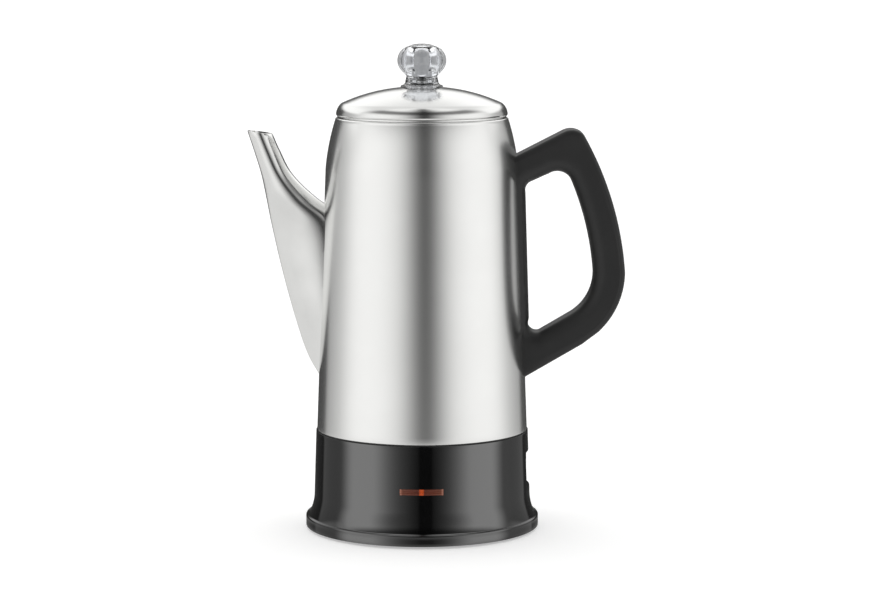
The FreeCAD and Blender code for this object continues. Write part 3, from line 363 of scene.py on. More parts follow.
METAL, GLOSSY, PLASTIC = {"Metallic": 1.0}, {"IOR": 2.25}, {"Specular IOR Level": 0.5, "IOR": 1.5}
LAMP_GLASS, CLEAR = ({"Transmission Weight": 0.7, "IOR": 1.47},
                     {"Transmission Weight": 1.0, "IOR": 1.49})
# Each row: name, colour, worn colour, effect, sockets, rings or grains per metre, roughness and
# how much that varies.
FINISHES = {
    "polished_steel": finish("Satin steel", (0.775, 0.775, 0.765), (0.79, 0.79, 0.78), "grain",
        METAL, 2600.0, 0.255, 0.015, glancing=0.8),
    "lid_steel": finish("Polished lid steel", (0.735, 0.735, 0.725), (0.75, 0.75, 0.74), "grain",
        METAL, 2600.0, 0.19, 0.015, glancing=0.9),
    "spout_steel": finish("Mirror steel", (0.76, 0.76, 0.75), (0.72, 0.72, 0.71), "skin",
        METAL, 160.0, 0.17, 0.03),
    "basket_steel": finish("Basket sheet", (0.66, 0.66, 0.65), (0.58, 0.57, 0.55), "grain",
        METAL, 1500.0, 0.26, 0.1, bump=0.0008),
    "plain_steel": finish("Tube steel", (0.60, 0.60, 0.59), (0.52, 0.51, 0.49), "grain",
        METAL, 900.0, 0.25, 0.1, bump=0.0006),
    "screw_steel": finish("Zinc plate", (0.55, 0.56, 0.57), (0.45, 0.45, 0.46), "grain",
        METAL, 3000.0, 0.33, 0.15, bump=0.001),
    "handle_black": finish("Matt black plastic", (0.0105, 0.0105, 0.0108), (0.0135, 0.0135, 0.0135),
        "skin", PLASTIC, 2600.0, 0.50, 0.12, bump=0.012),
    "base_black": finish("Gloss black plastic", (0.0015, 0.0015, 0.0016), (0.0025, 0.0025, 0.0026),
        "skin", GLOSSY, 300.0, 0.055, 0.02, quiet=True),
    "cover_black": finish("Cover plastic", (0.014, 0.014, 0.015), (0.022, 0.022, 0.022), "skin",
        PLASTIC, 1800.0, 0.55, 0.15, bump=0.02),
    "socket_black": finish("Socket plastic", (0.012, 0.012, 0.012), (0.02, 0.02, 0.02), "skin",
        PLASTIC, 2400.0, 0.38, 0.1, bump=0.01),
    "foot_rubber": finish("Foot rubber", (0.02, 0.02, 0.02), (0.04, 0.039, 0.037), "skin",
        PLASTIC, 1500.0, 0.8, 0.15, bump=0.03),
    "seal_rubber": finish("Seal rubber", (0.015, 0.015, 0.015), (0.025, 0.025, 0.025), "skin",
        PLASTIC, 1500.0, 0.6, 0.1, bump=0.01),
    "well_brass": finish("Plated brass", (0.62, 0.50, 0.30), (0.50, 0.38, 0.22), "grain",
        METAL, 1200.0, 0.32, 0.15, bump=0.001),
    "pin_brass": finish("Contact brass", (0.70, 0.62, 0.45), (0.62, 0.52, 0.36), "grain",
        METAL, 1200.0, 0.24, 0.1, bump=0.0006),
    "element_steel": finish("Element sheath", (0.28, 0.27, 0.26), (0.36, 0.30, 0.24), "skin",
        METAL, 900.0, 0.5, 0.2, bump=0.02),
    "plate_aluminium": finish("Cast aluminium", (0.62, 0.62, 0.63), (0.52, 0.52, 0.53), "skin",
        METAL, 1200.0, 0.45, 0.2, bump=0.02),
    "fuse_metal": finish("Fuse can", (0.58, 0.55, 0.48), (0.48, 0.44, 0.36), "grain",
        METAL, 1800.0, 0.3, 0.1),
    "lamp_glass": finish("Lamp glass", (0.95, 0.62, 0.42), (0.9, 0.5, 0.3), "skin",
        LAMP_GLASS, 900.0, 0.08, 0.02),
    "wire_jacket": finish("Wire jacket", (0.55, 0.54, 0.50), (0.42, 0.41, 0.37), "skin",
        PLASTIC, 1500.0, 0.6, 0.1, bump=0.02),
    "knob_clear": finish("Clear knob", (0.90, 0.91, 0.93), None, "skin",
        CLEAR, 200.0, 0.06, 0.01),
}
print(len(FINISHES), "finishes")

# %% [markdown]
# The lamp's lens is amber plastic. A lit block shows in its middle, and its ends look paler
# because they scatter more light. The colour follows the distance from the middle, measured along
# X.

# %% Make the amber lens finish
TONE_REACH = 14.0  # millimetres from the lens's middle to its last tone
LENS_TONES = [
    (0.0, (0.55, 0.075, 0.006)), (0.09, (0.42, 0.055, 0.006)), (0.12, (0.095, 0.018, 0.007)),
    (0.55, (0.12, 0.026, 0.011)), (0.84, (0.15, 0.042, 0.020)), (0.90, (0.36, 0.15, 0.10)),
    (1.0, (0.30, 0.11, 0.07))]


def make_lens_finish():
    material = bpy.data.materials.new("Amber lens")
    material.use_nodes = True
    tree = material.node_tree
    shader = tree.nodes["Principled BSDF"]
    shader.inputs["Roughness"].default_value = 0.22
    off = calc(tree, "ABSOLUTE", parts(tree, object_place(tree))["X"])
    tone = colour_ramp(tree, times(tree, off, 1000 / TONE_REACH), LENS_TONES)
    tree.links.new(tone, shader.inputs["Base Color"])
    tree.links.new(tone, shader.inputs["Emission Color"])
    shader.inputs["Emission Strength"].default_value = 0.10
    return material


FINISHES["lens_amber"] = make_lens_finish()
print("lens finish made")

# %% [markdown]
# ## Drawing and turning outlines
# Most of this object was made on a lathe or in a round mould, so most pieces are an outline
# turned round the Z axis. An outline is a list of (radius, height) in millimetres. A point marked
# with a third value lies on an arc between its two neighbours, exactly as in the engineering
# drawing.

# %% Outline helpers
TINY = 1e-6  # millimetres
MOST_CUT = 0.45  # the largest share of a run that an eased corner may take


def arc_points(start, middle, stop, steps):
    """Points between start and stop on the circle through all three."""
    (ax, ay), (bx, by), (cx, cy) = start, middle[:2], stop
    d = 2 * (ax * (by - cy) + bx * (cy - ay) + cx * (ay - by))
    ux = ((ax * ax + ay * ay) * (by - cy) + (bx * bx + by * by) * (cy - ay)
          + (cx * cx + cy * cy) * (ay - by)) / d
    uy = ((ax * ax + ay * ay) * (cx - bx) + (bx * bx + by * by) * (ax - cx)
          + (cx * cx + cy * cy) * (bx - ax)) / d
    radius = math.hypot(ax - ux, ay - uy)
    first, via, last = (math.atan2(y - uy, x - ux) for x, y in ((ax, ay), (bx, by), (cx, cy)))
    sweep = (last - first) % math.tau
    if (via - first) % math.tau > sweep:
        sweep -= math.tau
    return [(ux + radius * math.cos(first + sweep * i / steps),
             uy + radius * math.sin(first + sweep * i / steps)) for i in range(1, steps)]


def traced(points, steps=14):
    """The outline as plain points, with its arcs filled in."""
    corners = [i for i, p in enumerate(points) if len(p) == 2]
    out = []
    for turn, i in enumerate(corners):
        following = points[corners[(turn + 1) % len(corners)]]
        out.append(points[i])
        if i + 1 < len(points) and len(points[i + 1]) == 3:
            out += arc_points(points[i], points[i + 1], following, steps)
    return out


def eased(points, radius, keep_below=18.0):
    """Round every sharp corner of a closed outline a little, as real edges are."""
    out = []
    count = len(points)
    for i, point in enumerate(points):
        before, after = Vector(points[i - 1]), Vector(points[(i + 1) % count])
        here = Vector(point)
        back, ahead = before - here, after - here
        fixed = min(here.x, back.length, ahead.length) < TINY
        if fixed or 180 - math.degrees(back.angle(ahead)) < keep_below:
            out.append(tuple(here))
            continue
        cut = min(radius, MOST_CUT * back.length, MOST_CUT * ahead.length)
        a, b = here + back.normalized() * cut, here + ahead.normalized() * cut
        for t in (0.0, 0.25, 0.5, 0.75, 1.0):
            out.append(tuple((1 - t) ** 2 * a + 2 * t * (1 - t) * here + t ** 2 * b))
    return out


def divided(points, longest):
    """Split long runs so that later cuts and shading stay even."""
    out = []
    for i, point in enumerate(points):
        following = points[(i + 1) % len(points)]
        run = math.dist(point, following)
        count = max(1, math.ceil(run / longest))
        out += [tuple(p + (q - p) * k / count for p, q in zip(point, following))
                for k in range(count)]
    return out


print("outline helpers ready")

# %% [markdown]
# A turned mesh is a grid of quads, one ring for each outline point. Points on the axis become a
# single vertex, so that the poles are closed. Smooth shading everywhere, with sharp edges marked
# by angle, gives clean reflections without hiding the real corners.

# %% Mesh helpers
def new_mesh(name, verts, faces, sharp=32.0):
    """A mesh from millimetres, with its faces outwards and its sharp edges marked."""
    mesh = bpy.data.meshes.new(name)
    mesh.from_pydata([(x * MM, y * MM, z * MM) for x, y, z in verts], [], faces)
    settle(mesh, sharp)
    return mesh


def settle(mesh, sharp=32.0):
    """Merge doubles, turn the faces outwards and shade smooth up to the sharp angle."""
    work = bmesh.new()
    work.from_mesh(mesh)
    bmesh.ops.remove_doubles(work, verts=work.verts, dist=1e-7)
    bmesh.ops.recalc_face_normals(work, faces=work.faces)
    work.to_mesh(mesh)
    work.free()
    mesh.polygons.foreach_set("use_smooth", [True] * len(mesh.polygons))
    mesh.set_sharp_from_angle(angle=math.radians(sharp))
    mesh.update()


def quads(count, first, second):
    """Faces between two closed rings of vertices, given by where each ring starts."""
    return [[first + k, first + (k + 1) % count, second + (k + 1) % count, second + k]
            for k in range(count)]


def turned(name, outline, columns=180, sharp=32.0):
    """Turn a closed outline round the Z axis."""
    verts, rings = [], []
    for radius, height in outline:
        if radius < TINY:
            rings.append([len(verts)] * columns)
            verts.append((0, 0, height))
            continue
        rings.append(list(range(len(verts), len(verts) + columns)))
        angles = [math.tau * k / columns for k in range(columns)]
        verts += [(radius * math.cos(a), radius * math.sin(a), height) for a in angles]
    faces = []
    for i, ring in enumerate(rings):
        other = rings[(i + 1) % len(rings)]
        if ring[0] == ring[1] and other[0] == other[1]:
            continue
        for k in range(columns):
            n = (k + 1) % columns
            face = [ring[k], ring[n], other[n], other[k]]
            faces.append([v for j, v in enumerate(face) if v not in face[:j]])
    return new_mesh(name, verts, faces, sharp)


def piece(name, mesh, material, body, stands_for=()):
    """Put a finished mesh in the scene on its moving body."""
    obj = bpy.data.objects.new(name, mesh)
    scene.collection.objects.link(obj)
    mesh.materials.clear()
    mesh.materials.append(FINISHES[material])
    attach(obj, body)
    if stands_for:
        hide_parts(*stands_for)
    print("%-18s %6d faces on %s" % (name, len(mesh.polygons), body))
    return obj


print("mesh helpers ready")

# %% [markdown]
# ## Geometry trees
# Holes, screws and ribs repeat, so they come from Geometry Nodes: one tree says where the copies
# go and what is cut or added. `grown` runs a tree once on a mesh and keeps the plain result.

# %% Geometry helpers
KINDS = {float: "NodeSocketFloat", int: "NodeSocketInt", bpy.types.Material: "NodeSocketMaterial"}


def new_tree(name, **inputs):
    """A geometry tree with a Geometry input and output, and named inputs with defaults."""
    tree = bpy.data.node_groups.new(name, "GeometryNodeTree")
    tree.interface.new_socket("Geometry", in_out="INPUT", socket_type="NodeSocketGeometry")
    tree.interface.new_socket("Geometry", in_out="OUTPUT", socket_type="NodeSocketGeometry")
    for label, value in inputs.items():
        socket = tree.interface.new_socket(label.replace("_", " "), in_out="INPUT",
                                           socket_type=KINDS[type(value)])
        socket.default_value = value
    tree.interface.new_socket("Finish", in_out="INPUT", socket_type="NodeSocketMaterial")
    return tree, add(tree, "NodeGroupInput").outputs


def close_tree(tree, start, geometry):
    """Every tree ends by making its copies real and giving them a finish."""
    real = add(tree, "GeometryNodeRealizeInstances", {0: geometry})
    dressed = add(tree, "GeometryNodeSetMaterial", {"Geometry": real.outputs[0],
                                                    "Material": start["Finish"]})
    add(tree, "NodeGroupOutput", {0: dressed.outputs[0]})
    return tree


def cut_away(tree, start, *tools):
    """Subtract closed shapes from the geometry, and close the tree."""
    cut = add(tree, "GeometryNodeMeshBoolean", {0: start["Geometry"]}, operation="DIFFERENCE")
    for tool in tools:
        tree.links.new(tool, cut.inputs[1])
    return close_tree(tree, start, cut.outputs[0])


def box(tree, size, **place):
    """A block of a size, moved or turned."""
    cube = add(tree, "GeometryNodeMeshCube", {"Size": size})
    return add(tree, "GeometryNodeTransform", {0: cube.outputs[0], **place}).outputs[0]


def hosted(name, mesh):
    host = bpy.data.objects.new(name, mesh)
    scene.collection.objects.link(host)
    return host


def kept(name, host, sharp):
    """What a host's modifier makes, as a plain mesh. The host is removed."""
    graph = bpy.context.evaluated_depsgraph_get()
    result = bpy.data.meshes.new_from_object(host.evaluated_get(graph), depsgraph=graph)
    host.modifiers.clear()
    bpy.data.objects.remove(host)
    result.name = name
    settle(result, sharp)
    return result


def grown(name, tree, mesh, material, sharp=32.0, **values):
    """Run a tree on a mesh and keep the result as a plain mesh."""
    host = hosted(name + "_host", mesh)
    modifier = host.modifiers.new("Tree", "NODES")
    modifier.node_group = tree
    values["Finish"] = FINISHES[material]
    for item in tree.interface.items_tree:
        label = item.name.replace(" ", "_")
        if item.in_out == "INPUT" and label in values:
            modifier[item.identifier] = values[label]
    return kept(name, host, sharp)


print("geometry helpers ready")

# %% [markdown]
# ## Trees used by several pieces
# `RING` copies a mesh round the Z axis, for feet, studs and screws. `CROSS` cuts a cross recess
# into the underside of a screw head. `BORE` cuts rows of round holes through a wall, and `WINDOW`
# cuts one straight-sided opening. Cutting with solid shapes keeps the walls closed, which drawing
# a dark disc on the surface would not.

# %% Build the shared trees
def build_ring():
    tree, start = new_tree("Pieces on a circle", Count=4, Circle=0.06, First_angle=0.785)
    circle = add(tree, "GeometryNodeMeshCircle", {"Vertices": start["Count"],
                                                  "Radius": start["Circle"]})
    spin = vector(tree, z=start["First angle"])
    spun = add(tree, "GeometryNodeTransform", {0: circle.outputs[0], "Rotation": spin})
    placed = add(tree, "GeometryNodeInstanceOnPoints", {
        "Points": spun.outputs[0], "Instance": start["Geometry"], "Rotation": spin})
    return close_tree(tree, start, placed.outputs[0])


def build_cross():
    tree, start = new_tree("Cross recess", Width=0.0008, Length=0.0032, Depth=0.0012, Height=0.0)
    long, wide, lift = start["Length"], start["Width"], vector(tree, z=start["Height"])
    deep = times(tree, start["Depth"], 2.0)
    return cut_away(tree, start, *(box(tree, vector(tree, x, y, deep), Translation=lift)
                                   for x, y in ((long, wide), (wide, long))))


def build_bore():
    """Staggered rows of holes along X, spread over Y and Z."""
    tree, start = new_tree("Rows of holes", Columns=3, Rows=11, Across=0.00512, Up=0.00672,
                           Hole=0.0016, Lowest=0.12, Reach=0.03, Shift=-0.0013)
    wide = times(tree, start["Across"], minus(tree, start["Columns"], 1.0))
    tall = times(tree, start["Up"], minus(tree, start["Rows"], 1.0))
    points = add(tree, "GeometryNodeMeshGrid", {"Vertices X": start["Columns"], "Size X": wide,
                                                "Vertices Y": start["Rows"], "Size Y": tall})
    flat = parts(tree, add(tree, "GeometryNodeInputPosition").outputs[0])
    level = plus(tree, flat["Y"], plus(tree, times(tree, tall, 0.5), start["Lowest"]))
    row = calc(tree, "ROUND", calc(tree, "DIVIDE", minus(tree, level, start["Lowest"]), start["Up"]))
    stagger = times(tree, calc(tree, "MODULO", row, 2.0), times(tree, start["Across"], 0.5))
    across = plus(tree, flat["X"], plus(tree, stagger, start["Shift"]))
    spot = vector(tree, times(tree, start["Reach"], -1.0), across, level)
    moved = add(tree, "GeometryNodeSetPosition", {"Geometry": points.outputs[0], "Position": spot})
    drill = add(tree, "GeometryNodeMeshCylinder", {"Vertices": 20, "Radius": start["Hole"],
                                                   "Depth": start["Reach"]})
    drills = add(tree, "GeometryNodeInstanceOnPoints", {
        "Points": moved.outputs[0], "Instance": drill.outputs[0], "Rotation": (0, math.pi / 2, 0)})
    real = add(tree, "GeometryNodeRealizeInstances", {0: drills.outputs[0]})
    return cut_away(tree, start, real.outputs[0])


def build_window():
    """One box cut out of a wall, given by its middle and its size."""
    tree, start = new_tree("Window", Middle_X=0.0, Middle_Y=0.0, Middle_Z=0.0, Size_X=0.01,
                           Size_Y=0.01, Size_Z=0.01)
    middle, size = (vector(tree, *(start[word + axis] for axis in "XYZ"))
                    for word in ("Middle ", "Size "))
    return cut_away(tree, start, box(tree, size, Translation=middle))


RING, CROSS, BORE, WINDOW = build_ring(), build_cross(), build_bore(), build_window()
print("trees:", RING.name, CROSS.name, BORE.name, WINDOW.name)

# %% [markdown]
# ## The pot
# The pot is one drawn shell of thin steel: a rounded floor, a straight wall that leans in
# slightly, a curved shoulder and a rolled rim. It is an outline of the real sheet thickness
# turned round the axis, so that the inside is as true as the outside. The strainer holes behind
# the spout are cut last.

# %% Turn the pot
WALL_FOOT = 65.4  # radius of the pot's wall where it meets the base
POT_OUTSIDE = [(WALL_FOOT, 62.3), (59.5, 224.6), (57.3, 239.65, "via"), (53.4, 254.7)]
POT = [(13.0, 52.0), (55.8, 52.0), (61.1, 54.2, "via"), (63.3, 59.5), (63.3, 62.3)]
POT += POT_OUTSIDE + [
    (52.3, 255.8, "via"), (51.2, 254.7), (52.6, 253.2), (56.5, 239.65, "via"), (58.7, 224.6),
    (64.6, 63.1), (62.5, 63.1), (62.5, 59.5), (60.54, 54.76, "via"), (55.8, 52.8), (13.0, 52.8)]

pot_blank = turned("Pot_blank", divided(eased(traced(POT, 24), 0.35), 4.0), 240)
pot_mesh = grown("Pot", BORE, pot_blank, "polished_steel")
piece("Pot", pot_mesh, "polished_steel", "pot", ["pot_shell"])

# The solid outside of the pot, used only to trim what meets the wall.
pot_plug = turned("Pot_plug", traced([(0.0, 60.0), (WALL_FOOT, 60.0)] + POT_OUTSIDE
                                     + [(0.0, 254.7)], 24), 240)


def trimmed(name, mesh, sharp=32.0):
    """Cut away the part of a mesh that is inside the pot's outer surface."""
    host, tool = hosted(name + "_host", mesh), hosted("Trim_tool", pot_plug)
    cut = host.modifiers.new("Trim", "BOOLEAN")
    cut.operation, cut.solver, cut.object = "DIFFERENCE", "EXACT", tool
    result = kept(name, host, sharp)
    bpy.data.objects.remove(tool)
    return result


print("pot wall leans from %.1f to %.1f mm" % (POT_OUTSIDE[0][0], POT_OUTSIDE[1][0]))

# %% [markdown]
# ## The spout
# The spout is pressed from sheet and welded over the strainer holes. Its section changes all the
# way up: wide and shallow where it grows out of the wall, almost round at the mouth, and drawn to
# a soft ridge on the pot's side. It is a stack of closed sections joined by quads, with an inner
# skin for the sheet's thickness. A loft between a few stations keeps the long curve
# fair.

# %% Loft the spout
SPOUT_STATIONS = [  # share of the height, outer reach, inner reach, half width
    (0.000, -0.080, -0.35, 0.28), (0.103, 0.132, -0.40, 0.68), (0.250, 0.312, -0.45, 0.92),
    (0.443, 0.501, -0.50, 1.00), (0.636, 0.660, -0.50, 1.00), (0.733, 0.728, -0.01, 0.93),
    (0.827, 0.799, 0.340, 0.78), (0.923, 0.905, 0.525, 0.67), (1.000, 1.000, 0.634, 0.62)]
SPOUT_LOW, SPOUT_RISE, SPOUT_REACH, SPOUT_HALF, SPOUT_SHEET = 92.0, 155.6, 42.3, 12.5, 0.9
MOUTH_TILT, TILT_FROM = 1.8, 0.88  # how far the mouth leans, and from which share of the height
KEEL, KEEL_TO = 0.45, 0.35  # how strongly the ridge is drawn, and up to which share in full
PINCH = 0.16  # how much the section narrows towards the pot
LIP_RISE, LIP_EASE = 0.12, 0.30


def fair(share, column):
    """A smooth value between the stations (a cubic through each pair with shared slopes)."""
    xs = [s[0] for s in SPOUT_STATIONS]
    ys = [s[column] for s in SPOUT_STATIONS]
    slopes = [(ys[min(i + 1, len(ys) - 1)] - ys[max(i - 1, 0)])
              / (xs[min(i + 1, len(xs) - 1)] - xs[max(i - 1, 0)]) for i in range(len(xs))]
    i = max(0, min(len(xs) - 2, sum(1 for x in xs[1:] if x <= share)))
    gap = xs[i + 1] - xs[i]
    t = (share - xs[i]) / gap
    return (ys[i] * (1 + 2 * t) * (1 - t) ** 2 + slopes[i] * gap * t * (1 - t) ** 2
            + ys[i + 1] * t * t * (3 - 2 * t) + slopes[i + 1] * gap * t * t * (t - 1))


def spout_section(share, inset, columns=72):
    out_x, in_x = (WALL_FOOT + SPOUT_REACH * fair(share, k) for k in (1, 2))
    half = fair(share, 3) * SPOUT_HALF - inset
    long_half = (out_x - in_x) / 2 - inset
    middle = -(out_x + in_x) / 2
    tilt = MOUTH_TILT * max(0.0, (share - TILT_FROM) / (1 - TILT_FROM)) ** 2
    fade = max(0.0, (share - KEEL_TO) / (1 - KEEL_TO))
    keel = KEEL * (1 - fade * fade * (3 - 2 * fade))
    widest = max(math.sin(a / 40) * (1 + keel * math.cos(a / 40)) for a in range(126))
    ring = []
    for k in range(columns):
        angle = math.tau * k / columns
        towards_pot = max(0.0, math.cos(angle))
        pinch = 1 - PINCH * towards_pot ** 1.5 * (1 - abs(math.sin(angle)))
        drop = 1 + keel * math.cos(angle)
        ring.append((middle + long_half * math.cos(angle),
                     half * math.sin(angle) * pinch * drop / widest,
                     SPOUT_LOW + share * SPOUT_RISE - tilt * (1 + math.cos(angle)) / 2))
    return ring


def make_spout():
    steps = 96
    shares = [i / steps for i in range(steps + 1)]
    rings = [spout_section(s, 0.0) for s in shares[:-1]] + [spout_section(1.0, LIP_RISE)]
    rings += [[(x, y, z + LIP_RISE) for x, y, z in spout_section(1.0, inset)]
              for inset in (LIP_EASE, SPOUT_SHEET - LIP_EASE)]
    rings += [spout_section(s, SPOUT_SHEET) for s in reversed(shares[3:])]
    columns = len(rings[0])
    verts = [v for ring in rings for v in ring]
    faces = []
    for r in range(len(rings) - 1):
        faces += quads(columns, r * columns, (r + 1) * columns)
    faces.append(list(range(columns)))
    faces.append(list(range((len(rings) - 1) * columns, len(rings) * columns)))
    return trimmed("Spout", new_mesh("Spout_blank", verts, faces, 38.0), 38.0)


piece("Spout", make_spout(), "spout_steel", "pot", ["spout"])

# %% [markdown]
# ## The handle
# The handle is one solid moulding with a flat side, a large soft radius round the finger gap and
# a fine raised line just inside its outer edge. Its surface is a height over a flat drawing: rays
# from the middle of the gap cross both outlines, and each point's height depends on how far it is
# from either edge. That gives every radius exactly, which a bevel on so uneven a shape can't do.

# %% Mould the handle
HANDLE_X, HANDLE_REACH, HANDLE_LOW, HANDLE_RISE, HANDLE_HALF = WALL_FOOT, 60.0, 95.5, 153.3, 12.5
HANDLE_OUTSIDE = [
    (-0.223, 0.875), (0.362, 0.992), (0.470, 0.999, "via"), (0.565, 0.982), (0.857, 0.720, "via"),
    (1.000, 0.427), (0.925, 0.290, "via"), (0.728, 0.183), (0.562, 0.134), (-0.173, -0.033)]
HANDLE_WINDOW = [
    (0.015, 0.232), (-0.025, 0.744), (-0.004, 0.781, "via"), (0.045, 0.793), (0.230, 0.826),
    (0.350, 0.829, "via"), (0.448, 0.793), (0.600, 0.615, "via"), (0.678, 0.427),
    (0.610, 0.322, "via"), (0.443, 0.256), (0.125, 0.183), (0.045, 0.187, "via")]
WINDOW_ROUND, WINDOW_SINK = 8.5, 0.80  # a radius, and how much of it the surface really drops
EDGE_ROUND, EDGE_SINK = 2.6, 0.9
LINE_HEIGHT, LINE_WIDTH = 0.25, 0.5  # the fine step inside the outer edge
BEAD_HEIGHT, BEAD_AT, BEAD_WIDTH = 0.45, 2.3, 0.55  # the bead beside the pot's wall
BEAD_REACH, BEAD_FROM, BEAD_TO = 1.5, 26, 128
NEAR_WINDOW = [0.0, 0.25, 0.6, 1.1, 1.7, 2.3, 2.9, 3.6, 4.5, 5.5, 6.7, 8.0]
NEAR_EDGE = [3.6, 3.1, 2.85, 2.6, 2.1, 1.5, 0.9, 0.45, 0.15, 0.0]
RAYS, FULL_WIDTH, HANDLE_MIDDLE = 420, 14.0, (0.30, 0.48)


def handle_loop(shares):
    points = [(HANDLE_X + HANDLE_REACH * p[0], HANDLE_LOW + HANDLE_RISE * p[1]) + tuple(p[2:])
              for p in shares]
    return np.array(divided(traced(points, 24), 1.2))


def crossing(loop, centre, angle):
    """How far a ray from the centre runs before it meets a closed loop."""
    a, b = loop, np.roll(loop, -1, axis=0)
    d = np.array([math.cos(angle), math.sin(angle)])
    e, w = b - a, a - centre
    cross = d[0] * e[:, 1] - d[1] * e[:, 0]
    cross = np.where(abs(cross) < 1e-12, 1e-12, cross)
    along = (w[:, 0] * e[:, 1] - w[:, 1] * e[:, 0]) / cross
    share = (w[:, 0] * d[1] - w[:, 1] * d[0]) / cross
    hits = along[(share >= -1e-9) & (share <= 1 + 1e-9) & (along > 0)]
    return float(hits.max())


def nearest(loop, point):
    a, b = loop, np.roll(loop, -1, axis=0)
    e = b - a
    t = np.clip(((point - a) * e).sum(1) / (e * e).sum(1), 0, 1)
    return float(np.sqrt(((a + e * t[:, None] - point) ** 2).sum(1)).min())


def sunk(radius, distance):
    """How far a rounded surface has dropped, this far from its edge."""
    return radius - math.sqrt(max(0.0, radius ** 2 - max(0.0, radius - distance) ** 2))


def handle_height(point, outer, window):
    from_window, from_edge = nearest(window, point), nearest(outer, point)
    step = min(1.0, max(0.0, 1 - (from_edge - EDGE_ROUND) / LINE_WIDTH))
    height = HANDLE_HALF - WINDOW_SINK * sunk(WINDOW_ROUND, from_window)
    height -= EDGE_SINK * sunk(EDGE_ROUND, from_edge) + LINE_HEIGHT * step
    if point[0] < HANDLE_X + BEAD_REACH and BEAD_FROM < point[1] - HANDLE_LOW < BEAD_TO:
        height += BEAD_HEIGHT * math.exp(-((from_window - BEAD_AT) / BEAD_WIDTH) ** 2)
    return height


def make_handle():
    outer, window = handle_loop(HANDLE_OUTSIDE), handle_loop(HANDLE_WINDOW)
    centre = np.array([HANDLE_X + HANDLE_MIDDLE[0] * HANDLE_REACH,
                       HANDLE_LOW + HANDLE_MIDDLE[1] * HANDLE_RISE])
    top = []
    for k in range(RAYS):
        angle = math.tau * k / RAYS
        low, high = crossing(window, centre, angle), crossing(outer, centre, angle)
        squeeze = min(1.0, (high - low) / FULL_WIDTH)
        along = [low + v * squeeze for v in NEAR_WINDOW]
        far = [high - v * squeeze for v in NEAR_EDGE]
        along += list(np.linspace(along[-1], far[0], 6)[1:-1]) + far
        for distance in along:
            point = centre + distance * np.array([math.cos(angle), math.sin(angle)])
            top.append((point[0], handle_height(point, outer, window), point[1]))
    rings = len(top) // RAYS
    verts = [(x, -y, z) for x, y, z in top] + [(x, y, z) for x, y, z in top]
    back = len(top)
    faces = []
    for k in range(RAYS):
        n = (k + 1) % RAYS
        for r in range(rings - 1):
            a, b, c, d = k * rings + r, n * rings + r, n * rings + r + 1, k * rings + r + 1
            faces += [[a, b, c, d], [back + a, back + b, back + c, back + d]]
        for r in (0, rings - 1):
            faces.append([k * rings + r, n * rings + r, back + n * rings + r, back + k * rings + r])
    return trimmed("Handle", new_mesh("Handle_blank", verts, faces, 50.0), 35.0)


piece("Handle", make_handle(), "handle_black", "pot", ["handle"])

# %% [markdown]
# ## The lid
# The lid is spun from sheet: a small curled lip, a steep short cone, a soft break line, and a low
# dome with a hole for the knob. Two notches beside the hole let the knob's lugs through.

# %% Turn the lid
LID = [(50.7, 256.4), (51.5, 256.7), (52.6, 257.3, "via"), (52.9, 258.3), (52.1, 261.3, "via"),
       (49.5, 264.6), (30.75, 271.25, "via"), (11.0, 274.4), (11.0, 273.6), (30.75, 270.45, "via"),
       (48.7, 263.8), (51.35, 261.0, "via"), (52.0, 258.4), (51.6, 257.6), (50.9, 257.2)]
NOTCH_ANGLE, NOTCH_REACH, NOTCH_WIDTH, NOTCH_HEIGHT = math.radians(60), 13.3, 6.6, 274.0
THROUGH = 0.006  # metres, tall enough to cut right through the sheet


def build_notches():
    tree, start = new_tree("Lug notches", Angle=1.047, Reach=0.0133, Width=0.0066, Height=0.274)
    size = vector(tree, start["Width"], times(tree, start["Reach"], 2.0), THROUGH)
    return cut_away(tree, start, box(tree, size, Translation=vector(tree, z=start["Height"]),
                                     Rotation=vector(tree, z=start["Angle"])))


lid_blank = turned("Lid_blank", divided(eased(traced(LID, 30), 0.3), 3.0), 240)
lid_mesh = grown("Lid", build_notches(), lid_blank, "lid_steel", Angle=NOTCH_ANGLE,
                 Reach=NOTCH_REACH * MM, Width=NOTCH_WIDTH * MM, Height=NOTCH_HEIGHT * MM)
piece("Lid", lid_mesh, "lid_steel", "lid", ["lid_shell"])

# %% [markdown]
# ## The knob
# The knob is clear, hollow and fluted, so that the coffee can be seen as it spurts up inside. A
# plain turned knob goes in, and a geometry tree draws each point towards the axis by a rule: most
# at the lines between two lobes, least in a lobe's middle, and not at all at the neck.

# %% Flute the knob
KNOB = [(7.8, 267.9), (10.0, 267.9), (10.0, 274.7), (13.2, 274.7), (12.6, 275.6),
        (10.9, 276.3, "via"), (10.2, 278.0), (9.4, 281.2), (12.2, 284.2), (15.05, 291.2, "via"),
        (8.2, 299.5), (6.4, 300.3), (4.4, 300.75), (2.2, 300.95), (0.0, 301.0), (0.0, 299.1),
        (2.4, 299.05),
        (4.6, 298.8), (6.575, 298.2), (13.15, 291.2, "via"), (10.55, 284.9), (7.8, 280.0)]


GROOVE_SHARPNESS = 1.15
TOP_FADE, TOP_LEFT = 0.004, 0.15  # metres over which the flutes fade at the top, and what is left


